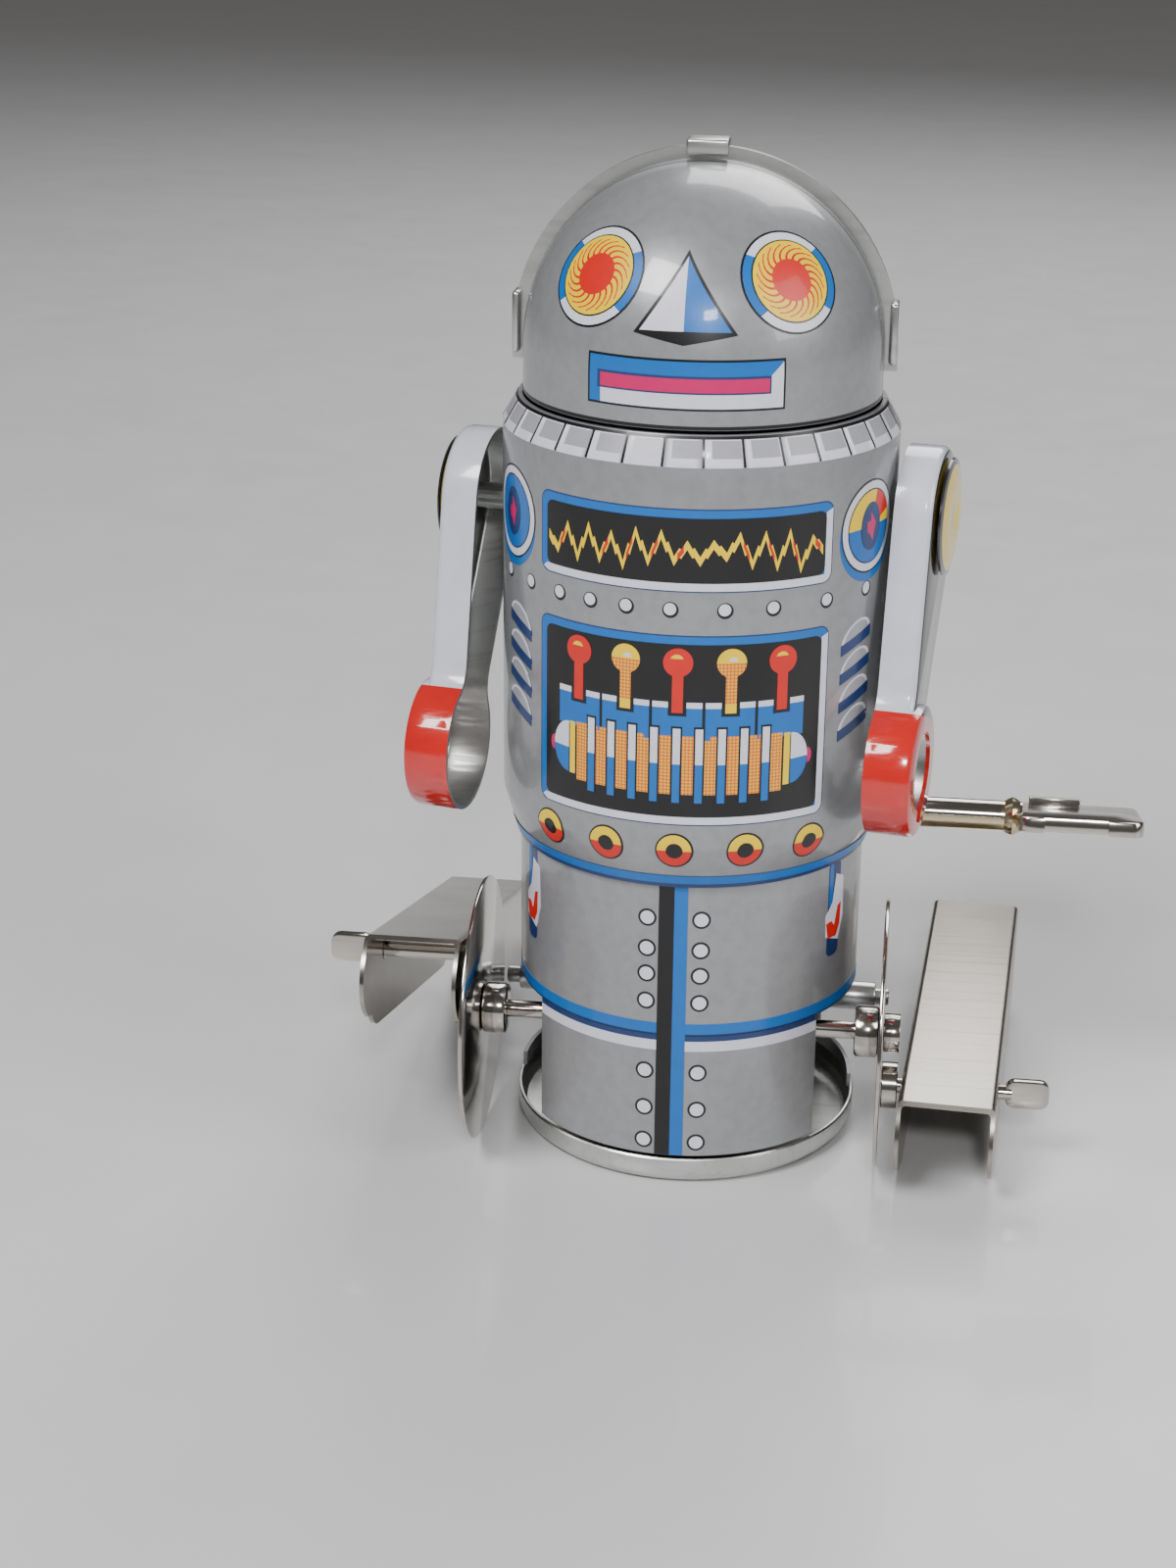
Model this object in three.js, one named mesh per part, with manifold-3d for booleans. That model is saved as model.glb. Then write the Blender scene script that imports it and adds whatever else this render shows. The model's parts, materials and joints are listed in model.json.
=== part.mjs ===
// Tin wind-up robot with crank-driven feet. Millimetres, +Z up.
// Origin: centre of the base cup on the surface it stands on. The face looks along -Y.
import * as THREE from "three";
import { mergeVertices } from "three/addons/utils/BufferGeometryUtils.js";
import Module from "manifold-3d";

const wasm = await Module();
wasm.setup();

// ---- driving dimensions ---------------------------------------------------
const WALL = 0.4; // tinplate
const GAP = 0.3; // between pieces that touch on the real toy
const SEAM = 0.15; // half of the open seam between front and rear shells
const FIT = 0.06; // between coaxial pieces that are riveted together
const ROUND = 48; // facets of the big shells

const CUP = { foot: 15.7, rim: 16.9, top: 2.65, floor: 0.5 };
const HIPS = { radius: 16.64, bottom: 2.95, top: 36, apron: 53, rearApron: 52 };
const SIDE_OPENING = { low: 4.4, high: 15.6, cornerTo: 92 }; // the corner runs just past the seam
const TORSO = {
  radius: 18.36,
  hem: 17.05,
  bottom: 31,
  bevel: 35.4,
  shoulder: 71,
  top: 73.4,
  collar: 16.95,
};
const HEAD = { radius: 16.52, bottom: 73.7, centre: 78, flangeRadius: 17.7, flangeDepth: 1.3 };
const TAB = { width: 3.8, top: 96.3, earReach: 17.6, earBottom: 76.6, earTop: 82.2 };

const ARM = {
  pivotZ: 62.7,
  swing: 22, // degrees forward of hanging
  skew: 10, // the loose rivets let both arms turn a little to the same side
  shoulder: 6.5,
  neck: 3.6,
  neckAt: 15.5, // below the pivot, where the taper from the shoulder ends
  hand: 6.2,
  reach: 23.6, // pivot to hand centre
  depth: 3.6,
  handDepth: 4.4,
  claw: 3.7,
};
const ARM_RIM = { left: 18.7, right: 18.9 }; // inner rim of each arm from the robot's axis
const RIVET = {
  radius: 1.2,
  hole: 1.6,
  head: 2.4,
  headClear: 0.9,
  headThickness: 0.7,
  torsoHole: 2.0,
};
const CAP = { radius: 5.5, crown: 3.2, skirt: 0.25, height: 0.7 };

const AXLE = { y: -8, z: 13.2, radius: 0.85 };
const DISC = { radius: 12.9, thickness: 0.4, inner: 19.3 };
const CRANK = 5.6; // axle to crank pin
const COLLAR = { radius: 2.5, length: 2.3 };
const BOSS_RADIUS = 1.9;
const PIN = { radius: 0.75, collarRadius: 2.3, paddle: 4.2, paddleHeight: 2.9 };

const FOOT = {
  length: 46,
  width: 9.2,
  sheet: 0.4,
  depth: 9.6,
  toe: 2.3, // the flanges bulge this far in front of the top plate
  pinBack: 7.8,
  pinBelow: 2.5,
};
// The feet slide a little on their pins, so the spacers beside the two discs differ in length.
const LEFT_FOOT = { centre: -24.95, slope: 16, toeOut: 0, pinEnd: 34.4, spacer: 0.35 };
const RIGHT_FOOT = { centre: 26.5, slope: -1.2, toeOut: -3.6, pinEnd: 35.9, spacer: 1.55 };

const ROD = { y: 11.5, z: 7.7, radius: 0.9, reach: 20, sleeve: 1.5, sleeveFrom: 13.2, sleeveTo: 18.6 };

const KEY = {
  y: 5.5,
  z: 31,
  from: 16.3,
  neck: 30.3,
  radius: 1.5,
  bulge: 1.9,
  bowFrom: 31.4,
  bowTo: 43.5,
  bowWidth: 11.5,
  sheet: 1.5,
  tilt: -14,
};

const MODULE = 0.5; // of every gear
const BACKLASH = 0.16;
const PRESSURE = THREE.MathUtils.degToRad(20);
const TEETH = { great: 36, secondPinion: 10, second: 34, axlePinion: 10 };
const PLATE = { x: 7.6, thickness: 0.6, low: 4.6, high: 37.5, half: 13.5 };
const ARBOR = { radius: 0.8, bore: 1.1 };
const RATCHET = { teeth: 12, outer: 4, inner: 3.1 };
const SPRING = { inner: 1.6, outer: 8.4, turns: 7, strip: 0.3 };

// Where the pieces of the motor lie between its two plates, as [from, to] along X.
const ALONG = {
  mainspring: [-3.3, 2.2],
  ratchet: [5.2, 6],
  greatWheel: [3.6, 4.6],
  secondPinion: [2.6, 5.6],
  secondWheel: [-4.6, -3.8],
  axlePinion: [-5.8, -2.8],
};

// ---- geometry helpers -----------------------------------------------------
const rad = THREE.MathUtils.degToRad;

/** A closed three.js geometry as a manifold solid with its faces pointing out. */
function solid(geometry) {
  const plain = new THREE.BufferGeometry();
  const source = geometry.index ? geometry.toNonIndexed() : geometry;
  plain.setAttribute("position", source.getAttribute("position"));
  const merged = mergeVertices(plain, 1e-4);
  const build = (triVerts) =>
    new wasm.Manifold(
      new wasm.Mesh({ numProp: 3, vertProperties: merged.attributes.position.array, triVerts }),
    );
  const made = build(new Uint32Array(merged.index.array));
  if (made.volume() > 0) return made;
  return build(new Uint32Array(merged.index.array).reverse());
}

/** A manifold solid as a three.js geometry. */
function geometryOf(made) {
  const mesh = made.getMesh();
  const geometry = new THREE.BufferGeometry();
  geometry.setAttribute("position", new THREE.BufferAttribute(mesh.vertProperties, 3));
  geometry.setIndex(new THREE.BufferAttribute(mesh.triVerts, 1));
  geometry.computeVertexNormals();
  return geometry;
}

const join = (...parts) => parts.reduce((all, part) => all.add(part));
const cut = (body, ...tools) => tools.reduce((left, tool) => left.subtract(tool), body);

/** A profile of [radius, z] points turned about the Z axis. */
function turned(profile, facets = ROUND) {
  const points = profile.map(([r, z]) => new THREE.Vector2(r, z));
  return solid(new THREE.LatheGeometry(points, facets).rotateX(Math.PI / 2));
}

/** A box between two corners. */
function block([x0, y0, z0], [x1, y1, z1]) {
  const box = new THREE.BoxGeometry(x1 - x0, y1 - y0, z1 - z0);
  return solid(box.translate((x0 + x1) / 2, (y0 + y1) / 2, (z0 + z1) / 2));
}

/** A cylinder parallel to X from x0 to x1 about (y, z). */
function rodX(radius, x0, x1, y = 0, z = 0, facets = 20) {
  const rod = new THREE.CylinderGeometry(radius, radius, x1 - x0, facets).rotateZ(Math.PI / 2);
  return solid(rod.translate((x0 + x1) / 2, y, z));
}

/** A tube parallel to X. */
function tubeX(radius, bore, x0, x1, y = 0, z = 0, facets = 24) {
  const drill = rodX(bore, x0 - 1, x1 + 1, y, z, facets);
  return cut(rodX(radius, x0, x1, y, z, facets), drill);
}

/** A shape drawn in (y, z), extruded along X from x0 to x1. */
function plateX(shape, x0, x1, curveSegments = 8) {
  const options = { depth: x1 - x0, bevelEnabled: false, curveSegments };
  const turn = new THREE.Matrix4().makeBasis(
    new THREE.Vector3(0, 1, 0),
    new THREE.Vector3(0, 0, 1),
    new THREE.Vector3(1, 0, 0),
  );
  return solid(new THREE.ExtrudeGeometry(shape, options).applyMatrix4(turn).translate(x0, 0, 0));
}

/** The same solid on the other side of the plane x = 0. */
const mirrored = (made) => made.mirror([1, 0, 0]);

// ---- shells of the body ---------------------------------------------------
/** Keeps the front (-1) or rear (+1) half of a shell. */
function half(shell, side) {
  const far = 60;
  const low = side < 0 ? -SEAM : -far;
  const high = side < 0 ? far : SEAM;
  return cut(shell, block([-far, low, -far], [far, high, 2 * far]));
}

function baseCup() {
  const { foot, rim, top, floor } = CUP;
  return turned([
    [0, 0],
    [foot, 0],
    [rim, 1.1],
    [rim, top],
    [rim - WALL, top],
    [rim - WALL, 1.3],
    [foot - 0.2, floor],
    [0, floor],
  ]);
}

/** A wedge of the side opening, between two angles measured from the front. */
function wedge(from, to, low, high) {
  const reach = 30;
  const outline = new THREE.Shape();
  outline.moveTo(0, 0);
  [from, (from + to) / 2, to].forEach((angle) => {
    outline.lineTo(reach * Math.sin(rad(angle)), -reach * Math.cos(rad(angle)));
  });
  outline.closePath();
  const options = { depth: high - low, bevelEnabled: false };
  return solid(new THREE.ExtrudeGeometry(outline, options).translate(0, 0, low));
}

function hips(side) {
  const { radius, bottom, top, apron, rearApron } = HIPS;
  const { low, high, cornerTo } = SIDE_OPENING;
  const tube = turned([
    [radius, bottom],
    [radius, top],
    [radius - WALL, top],
    [radius - WALL, bottom],
    [radius, bottom],
  ]);
  const opening = wedge(apron, 180 - rearApron, low, high);
  const corner = wedge(apron, cornerTo, 0, low + 0.1);
  const openings = join(opening, corner, mirrored(opening), mirrored(corner));
  const rodHoles = rodX(ROD.sleeve + GAP, -30, 30, ROD.y, ROD.z);
  const keyHole = rodX(KEY.radius + 0.2, 8, 30, KEY.y, KEY.z);
  return half(cut(tube, openings, rodHoles, keyHole), side);
}

function torso(side) {
  const { radius, hem, bottom, bevel, shoulder, top, collar } = TORSO;
  const tube = turned([
    [hem, bottom],
    [radius, bevel],
    [radius, shoulder],
    [collar, top],
    [collar - WALL, top],
    [radius - WALL, shoulder - 0.2],
    [radius - WALL, bevel + 0.2],
    [hem - WALL, bottom],
    [hem, bottom],
  ]);
  const rivetHoles = rodX(RIVET.torsoHole, -30, 30, 0, ARM.pivotZ);
  const keyHole = rodX(KEY.radius + 0.2, 8, 30, KEY.y, KEY.z);
  return half(cut(tube, rivetHoles, keyHole), side);
}

/** Outline of a domed shell from its foot over the top and back inside. */
function dome(outer, inner, foot) {
  const steps = 8;
  const arc = (r, a) => [r * Math.cos(a), HEAD.centre + r * Math.sin(a)];
  const up = Array.from({ length: steps + 1 }, (_, i) => (i / steps) * (Math.PI / 2));
  const outside = up.map((a) => arc(outer, a)).reverse();
  const inside = up.map((a) => arc(inner, a));
  outside[0][0] = 0;
  inside[steps][0] = 0;
  return turned([...outside, [outer, foot], [inner, foot], ...inside]);
}

function headShell(side) {
  const { radius, bottom, centre, flangeRadius, flangeDepth } = HEAD;
  const shell = half(dome(radius, radius - WALL, bottom), side);
  if (side < 0) return shell;
  const band = cut(
    dome(flangeRadius, radius - 0.2, bottom + 2.2),
    block([-40, -40, 0], [40, SEAM, 120]),
    block([-40, SEAM + flangeDepth, 0], [40, 40, 120]),
  );
  const { width, top, earReach, earBottom, earTop } = TAB;
  const crown = block([-width / 2, -0.9, centre + radius + 0.35], [width / 2, 2.1, top]);
  const ear = block([radius + 0.35, -0.9, earBottom], [earReach, 2.1, earTop]);
  return join(shell, band, crown, ear, mirrored(ear));
}

// ---- arms -----------------------------------------------------------------
/** Outline of an arm in (y, z) about its pivot, shrunk by `inset`. */
function armOutline(inset) {
  const shoulder = ARM.shoulder - inset;
  const hand = ARM.hand - inset;
  const neck = ARM.neck - inset;
  const taper = Math.asin((shoulder - neck) / ARM.neckAt);
  const wrist = [neck * Math.cos(taper), -ARM.neckAt - neck * Math.sin(taper)];
  const b = Math.asin(neck / hand);
  const outline = new THREE.Shape();
  outline.absarc(0, 0, shoulder, -taper, Math.PI + taper, false);
  outline.lineTo(-wrist[0], wrist[1]);
  outline.absarc(0, -ARM.reach, hand, Math.PI / 2 + b, 2.5 * Math.PI - b, false);
  outline.lineTo(...wrist);
  outline.closePath();
  return outline;
}

/** A pressed tray open towards the body, deeper at the hand, with a claw opening there. */
function arm() {
  const { depth, handDepth, hand, reach, claw } = ARM;
  const blank = plateX(armOutline(0), 0, depth, 12);
  const hollow = plateX(armOutline(WALL), -1, depth - WALL, 12);
  const handBlank = rodX(hand, 0, handDepth, 0, -reach, 40);
  const handHollow = rodX(hand - WALL, -1, handDepth - WALL, 0, -reach, 40);
  const pivot = rodX(RIVET.hole, 0, depth + 1);
  const opening = rodX(claw, 0, handDepth + 1, 0, -reach, 24);
  const notch = block([depth - WALL, 0, -reach - claw - 1], [handDepth + 1, 2, -reach]);
  return cut(join(blank, handBlank), hollow, handHollow, pivot, opening, notch);
}

/** Post through the torso wall, with its round head inside, clear of the curved wall. */
function shoulderRivet(pivotX) {
  const { radius, head, headClear, headThickness } = RIVET;
  const under = (TORSO.radius - WALL - pivotX) / Math.cos(rad(ARM.skew)) - headClear;
  const post = rodX(radius, under - headThickness, ARM.depth + 0.2);
  return join(post, rodX(head, under - headThickness, under));
}

function shoulderCap() {
  const { radius, crown, skirt, height } = CAP;
  const base = ARM.depth + GAP;
  const rise = height - skirt;
  const lens = new THREE.CylinderGeometry(crown, radius, rise, 24).rotateZ(-Math.PI / 2);
  const domed = solid(lens.translate(base + skirt + rise / 2 - 0.02, 0, 0));
  return join(domed, rodX(radius, base, base + skirt, 0, 0, 24));
}

// ---- cranks and feet ------------------------------------------------------
function crankDisc() {
  const { inner, thickness, radius } = DISC;
  return tubeX(radius, AXLE.radius + FIT, inner, inner + thickness, AXLE.y, AXLE.z, 48);
}

/** Shoulder collar, pin and hammered flat outer end, for a pin at height z. */
function crankPin({ pinEnd, spacer }, z) {
  const face = DISC.inner + DISC.thickness + FIT;
  const { radius, collarRadius, paddle, paddleHeight } = PIN;
  const collar = rodX(collarRadius, face, face + spacer, AXLE.y, z);
  const pin = rodX(radius, face, pinEnd - paddle + 0.5, AXLE.y, z, 14);
  const high = paddleHeight / 2;
  const flat = block([pinEnd - paddle, AXLE.y - 0.45, z - high], [pinEnd, AXLE.y + 0.45, z + high]);
  return join(collar, pin, flat);
}

/** Side flange of a foot in (y, z): origin at the front edge of the top plate. */
function footFlange() {
  const { length, depth, toe } = FOOT;
  const flange = new THREE.Shape();
  flange.moveTo(0, 0);
  flange.bezierCurveTo(-toe * 0.9, -depth * 0.25, -toe * 1.7, -depth * 0.62, 1.2, -depth * 0.85);
  flange.quadraticCurveTo(3, -depth, 6, -depth);
  flange.lineTo(length - 4, -depth);
  flange.quadraticCurveTo(length, -depth, length, -depth + 4);
  flange.lineTo(length, 0);
  flange.closePath();
  return flange;
}

/** A long channel, open below, with its crank pin hole at the origin. */
function foot() {
  const { length, width, sheet, pinBack, pinBelow } = FOOT;
  const side = width / 2;
  const top = block([-side, 0, -sheet], [side, length, 0]);
  const flange = footFlange();
  const channel = join(top, plateX(flange, -side, -side + sheet), plateX(flange, side - sheet, side));
  return cut(channel.translate([0, -pinBack, pinBelow]), rodX(PIN.radius + 0.3, -10, 10));
}

// ---- clockwork ------------------------------------------------------------
const involute = (angle) => Math.tan(angle) - angle;

/** Outline of a spur gear centred on (y, z), turned so that a tooth points at `phase`. */
function gearOutline(teeth, y, z, phase) {
  const pitch = (MODULE * teeth) / 2;
  const base = pitch * Math.cos(PRESSURE);
  const root = pitch - 1.2 * MODULE;
  const tip = pitch + 0.85 * MODULE;
  const halfAtPitch = (Math.PI * MODULE - BACKLASH * 2) / 4 / pitch;
  const halfWidth = (r) =>
    halfAtPitch + involute(PRESSURE) - involute(Math.acos(Math.min(1, base / r)));
  const radii = [root, Math.max(base, root + 0.05), pitch, tip];
  const outline = [];
  for (let tooth = 0; tooth < teeth; tooth++) {
    const middle = phase + (tooth * 2 * Math.PI) / teeth;
    const flank = radii.map((r) => [r, halfWidth(r)]);
    const points = [
      ...flank.map(([r, h]) => [r, middle - h]),
      ...flank.reverse().map(([r, h]) => [r, middle + h]),
    ];
    points.forEach(([r, a]) => outline.push(new THREE.Vector2(y + r * Math.cos(a), z + r * Math.sin(a))));
  }
  return new THREE.Shape(outline);
}

function gear(teeth, [y, z], [x0, x1], phase, bore) {
  const wheel = plateX(gearOutline(teeth, y, z, phase), x0, x1);
  return cut(wheel, rodX(bore, x0 - 1, x1 + 1, y, z));
}

const pitchRadius = (teeth) => (MODULE * teeth) / 2;
const KEY_AT = [KEY.y, KEY.z];
const AXLE_AT = [AXLE.y, AXLE.z];

/** The second arbor stands where both of its meshes run at their pitch distance. */
function secondArborAt() {
  const toKey = pitchRadius(TEETH.great) + pitchRadius(TEETH.secondPinion);
  const toAxle = pitchRadius(TEETH.second) + pitchRadius(TEETH.axlePinion);
  const dy = AXLE.y - KEY.y;
  const dz = AXLE.z - KEY.z;
  const span = Math.hypot(dy, dz);
  const along = (toKey ** 2 - toAxle ** 2 + span ** 2) / (2 * span);
  const aside = Math.sqrt(toKey ** 2 - along ** 2);
  return [KEY.y + (along * dy - aside * dz) / span, KEY.z + (along * dz + aside * dy) / span];
}

const SECOND_AT = secondArborAt();
const bearing = ([y0, z0], [y1, z1]) => Math.atan2(z1 - z0, y1 - y0);
const toothAngle = (teeth) => (2 * Math.PI) / teeth;

function motorPlate() {
  const { x, thickness, low, high, half: reach } = PLATE;
  const outline = new THREE.Shape();
  outline.moveTo(-reach, low + 3);
  outline.lineTo(-reach + 3, low);
  outline.lineTo(reach - 3, low);
  outline.lineTo(reach, low + 3);
  outline.lineTo(reach, high - 3);
  outline.lineTo(reach - 3, high);
  outline.lineTo(-reach + 7, high);
  outline.lineTo(-reach, high - 7);
  outline.closePath();
  const blank = plateX(outline, x, x + thickness);
  const bores = [KEY_AT, SECOND_AT].map(([y, z]) => rodX(ARBOR.bore, x - 1, x + 2, y, z));
  const axleBore = rodX(AXLE.radius + 0.25, x - 1, x + 2, AXLE.y, AXLE.z);
  const rodBore = rodX(ROD.radius + 0.2, x - 1, x + 2, ROD.y, ROD.z);
  const windows = [rodX(3, x - 1, x + 2, -6, 24, 24), rodX(2.2, x - 1, x + 2, 1.5, 8.2, 24)];
  return cut(blank, ...bores, axleBore, rodBore, ...windows);
}

/** A flat strip wound into a spiral about the key arbor. */
function mainspring() {
  const { inner, outer, turns, strip } = SPRING;
  const steps = turns * 12;
  const side = (offset) =>
    Array.from({ length: steps + 1 }, (_, i) => {
      const angle = (i / steps) * turns * 2 * Math.PI;
      const r = inner + ((outer - inner) * i) / steps + offset;
      return new THREE.Vector2(KEY.y + r * Math.cos(angle), KEY.z + r * Math.sin(angle));
    });
  return plateX(new THREE.Shape([...side(0), ...side(strip).reverse()]), ...ALONG.mainspring);
}

function ratchetWheel() {
  const { teeth, outer, inner } = RATCHET;
  const points = [];
  for (let i = 0; i < teeth; i++) {
    [[outer, 0], [inner, 0.12]].forEach(([r, lag]) => {
      const angle = i * toothAngle(teeth) + lag;
      points.push(new THREE.Vector2(KEY.y + r * Math.cos(angle), KEY.z + r * Math.sin(angle)));
    });
  }
  return cut(plateX(new THREE.Shape(points), ...ALONG.ratchet), rodX(ARBOR.radius + FIT, 4, 7, ...KEY_AT));
}

/** The click on the great wheel that stops the ratchet from turning back. */
function click() {
  const outline = new THREE.Shape();
  outline.moveTo(KEY.y + RATCHET.outer + 0.25, KEY.z + 0.3);
  outline.lineTo(KEY.y + RATCHET.outer + 0.7, KEY.z - 3.4);
  outline.absarc(KEY.y + 5.4, KEY.z - 4, 1, Math.PI, 2.2 * Math.PI, false);
  outline.lineTo(KEY.y + RATCHET.outer + 1.1, KEY.z + 0.6);
  outline.closePath();
  return plateX(outline, ...ALONG.ratchet);
}

// ---- key ------------------------------------------------------------------
/** Rolled tube with its outer end pressed flat into a notched bow. */
function key() {
  const { from, neck, radius, bulge, bowFrom, bowTo, bowWidth, sheet } = KEY;
  const shank = rodX(radius, from, bowFrom + 0.6);
  const socket = rodX(ARBOR.radius + 0.2, from - 1, from + 5);
  const knuckle = rodX(bulge, neck, bowFrom + 0.4);
  const w = bowWidth / 2;
  const bow = block([bowFrom, -w, -sheet / 2], [bowTo, w, sheet / 2]);
  const notch = block([bowFrom + 2.6, -w - 1, -2], [bowTo - 3.4, -w + 1.2, 2]);
  const lug = block([bowFrom + 1.4, w - 1.4, sheet / 2 - 0.2], [bowTo - 5.6, w - 0.4, sheet / 2 + 0.7]);
  return join(cut(join(shank, knuckle, bow), socket, notch), lug);
}

// ---- assembly -------------------------------------------------------------
const robot = new THREE.Group();
const finish = (color, roughness, metalness) => ({ color, roughness, metalness });
const ENAMEL = finish(0x9a9ca0, 0.35, 0.5);
const WHITE = finish(0xd9d8e2, 0.3, 0);
const YELLOW = finish(0xf5d90a, 0.35, 0);
const NICKEL = finish(0xbdb8ae, 0.18, 1);
const ZINC = finish(0xb4bab8, 0.35, 1);
const TIN = finish(0xc9cbc6, 0.3, 1);
const BRASS = finish(0xb8934a, 0.35, 1);
const SPRING_STEEL = finish(0x5b6270, 0.3, 1);

/** Adds one named mesh to a group. */
function add(name, made, look, parent = robot) {
  const mesh = new THREE.Mesh(geometryOf(made), new THREE.MeshStandardMaterial(look));
  mesh.name = name;
  parent.add(mesh);
  return mesh;
}

add("base_cup", baseCup(), TIN);
add("hips_front", hips(-1), ENAMEL);
add("hips_rear", hips(1), ENAMEL);
add("torso_front", torso(-1), ENAMEL);
add("torso_rear", torso(1), ENAMEL);
add("head_front", headShell(-1), ENAMEL);
add("head_rear", headShell(1), TIN);

[["left", -1], ["right", 1]].forEach(([name, side]) => {
  const handed = (made) => (side < 0 ? mirrored(made) : made);

  const pivotX = ARM_RIM[name] / Math.cos(rad(ARM.skew));
  const shoulder = new THREE.Group();
  shoulder.position.set(side * pivotX, 0, ARM.pivotZ);
  shoulder.rotation.z = -rad(ARM.skew);
  robot.add(shoulder);
  const hung = add(`${name}_arm`, handed(arm()), WHITE, shoulder);
  add(`${name}_shoulder_rivet`, handed(shoulderRivet(pivotX)), TIN, shoulder);
  add(`${name}_shoulder_cap`, handed(shoulderCap()), YELLOW, shoulder);
  hung.rotation.x = -rad(ARM.swing);

  const stance = side < 0 ? LEFT_FOOT : RIGHT_FOOT;
  const disc = DISC.inner;
  const { y, z, radius } = AXLE;
  const collar = tubeX(COLLAR.radius, radius + FIT, disc - COLLAR.length - FIT, disc - FIT, y, z);
  const outside = disc + DISC.thickness + FIT;
  add(`${name}_crank_disc`, handed(crankDisc()), NICKEL);
  add(`${name}_disc_collar`, handed(collar), NICKEL);
  const boss = tubeX(BOSS_RADIUS, radius + FIT, outside, outside + stance.spacer, y, z);
  add(`${name}_axle_boss`, handed(boss), NICKEL);

  const pinZ = z - side * CRANK;
  add(`${name}_crank_pin`, handed(crankPin(stance, pinZ)), NICKEL);
  const stand = new THREE.Group();
  stand.position.set(stance.centre, y, pinZ);
  stand.rotation.z = rad(stance.toeOut);
  robot.add(stand);
  add(`${name}_foot`, foot(), NICKEL, stand).rotation.x = -rad(stance.slope);

  const sleeve = tubeX(ROD.sleeve, ROD.radius + FIT, ROD.sleeveFrom, ROD.sleeveTo, ROD.y, ROD.z, 16);
  add(`${name}_rod_sleeve`, handed(sleeve), ZINC);
  add(`${name}_motor_plate`, handed(motorPlate()), ZINC);
});

add("guide_rod", rodX(ROD.radius, -ROD.reach, ROD.reach, ROD.y, ROD.z), ZINC);
add("main_axle", rodX(AXLE.radius, -DISC.inner - 0.8, DISC.inner + 2, ...AXLE_AT), NICKEL);

const PILLARS = [[-9.6, 29], [10.6, 13.5], [-9, 6.4], [6.2, 7]];
PILLARS.forEach(([y, z], i) => {
  add(`pillar_${i + 1}`, rodX(0.9, -PLATE.x + GAP, PLATE.x - GAP, y, z, 14), BRASS);
});

// Each mesh puts a tooth of one wheel in a space of the other, on the line between their centres.
const greatPhase = bearing(KEY_AT, SECOND_AT);
const secondPinionPhase = bearing(SECOND_AT, KEY_AT) + toothAngle(TEETH.secondPinion) / 2;
const secondPhase = bearing(SECOND_AT, AXLE_AT);
const axlePinionPhase = bearing(AXLE_AT, SECOND_AT) + toothAngle(TEETH.axlePinion) / 2;
const arborBore = ARBOR.radius + FIT;
const { greatWheel, secondPinion, secondWheel, axlePinion } = ALONG;
add("great_wheel", gear(TEETH.great, KEY_AT, greatWheel, greatPhase, ARBOR.bore), BRASS);
add("click", click(), SPRING_STEEL);
add("second_pinion", gear(TEETH.secondPinion, SECOND_AT, secondPinion, secondPinionPhase, arborBore), NICKEL);
add("second_wheel", gear(TEETH.second, SECOND_AT, secondWheel, secondPhase, arborBore), BRASS);
add("axle_pinion", gear(TEETH.axlePinion, AXLE_AT, axlePinion, axlePinionPhase, AXLE.radius + FIT), NICKEL);
add("second_arbor", rodX(ARBOR.radius, -PLATE.x - 1, PLATE.x + 1, ...SECOND_AT), NICKEL);
add("winding_arbor", rodX(ARBOR.radius, -PLATE.x - 1, KEY.from + 4.6, ...KEY_AT), NICKEL);
add("ratchet_wheel", ratchetWheel(), NICKEL);
add("mainspring", mainspring(), SPRING_STEEL);

const winder = add("winding_key", key(), NICKEL);
winder.position.set(0, KEY.y, KEY.z);
winder.rotation.x = rad(KEY.tilt);

export default robot;
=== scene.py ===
"""Tin wind-up robot: spun tin shells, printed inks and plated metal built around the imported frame.

Pieces are modelled in millimetres, in place, and brought to metres when they are handed over.
Robot azimuths are degrees from straight ahead (-Y), positive towards the key side (+X).
"""

import json
import logging
import math
from collections import defaultdict
from dataclasses import dataclass, field
from enum import Enum
from typing import Callable, Sequence

import bpy
from mathutils import Matrix, Vector

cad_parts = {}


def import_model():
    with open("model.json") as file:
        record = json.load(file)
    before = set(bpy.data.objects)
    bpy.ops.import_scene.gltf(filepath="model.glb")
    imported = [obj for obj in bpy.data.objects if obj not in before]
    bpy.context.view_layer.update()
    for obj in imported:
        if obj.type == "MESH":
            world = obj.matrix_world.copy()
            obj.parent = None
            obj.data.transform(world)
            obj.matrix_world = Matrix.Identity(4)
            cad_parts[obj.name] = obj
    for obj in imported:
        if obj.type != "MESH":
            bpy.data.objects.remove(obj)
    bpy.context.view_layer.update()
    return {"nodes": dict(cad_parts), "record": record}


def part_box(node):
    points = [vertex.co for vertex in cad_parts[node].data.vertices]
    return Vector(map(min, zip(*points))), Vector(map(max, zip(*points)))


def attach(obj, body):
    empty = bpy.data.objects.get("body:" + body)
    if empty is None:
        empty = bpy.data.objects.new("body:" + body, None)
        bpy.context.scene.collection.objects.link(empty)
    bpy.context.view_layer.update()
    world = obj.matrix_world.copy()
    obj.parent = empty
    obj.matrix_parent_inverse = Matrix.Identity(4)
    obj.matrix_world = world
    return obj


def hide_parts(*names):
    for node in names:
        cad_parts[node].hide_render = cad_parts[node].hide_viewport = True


LOG = logging.getLogger("tin_robot")
MM = 0.001
SHELL_STEPS = 96  # facets of half a turn of a body shell
SMOOTH_ANGLE = math.radians(32)

Colour = tuple[float, float, float]
Point2 = tuple[float, float]
Outline = list[Point2]


# ---- finishes -------------------------------------------------------------------------------
class Grain(Enum):
    """What a surface shows when looked at closely."""

    SMOOTH = "smooth"
    SCRATCHED = "scratched"
    SPANGLED = "spangled"
    HALFTONE = "halftone"


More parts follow.
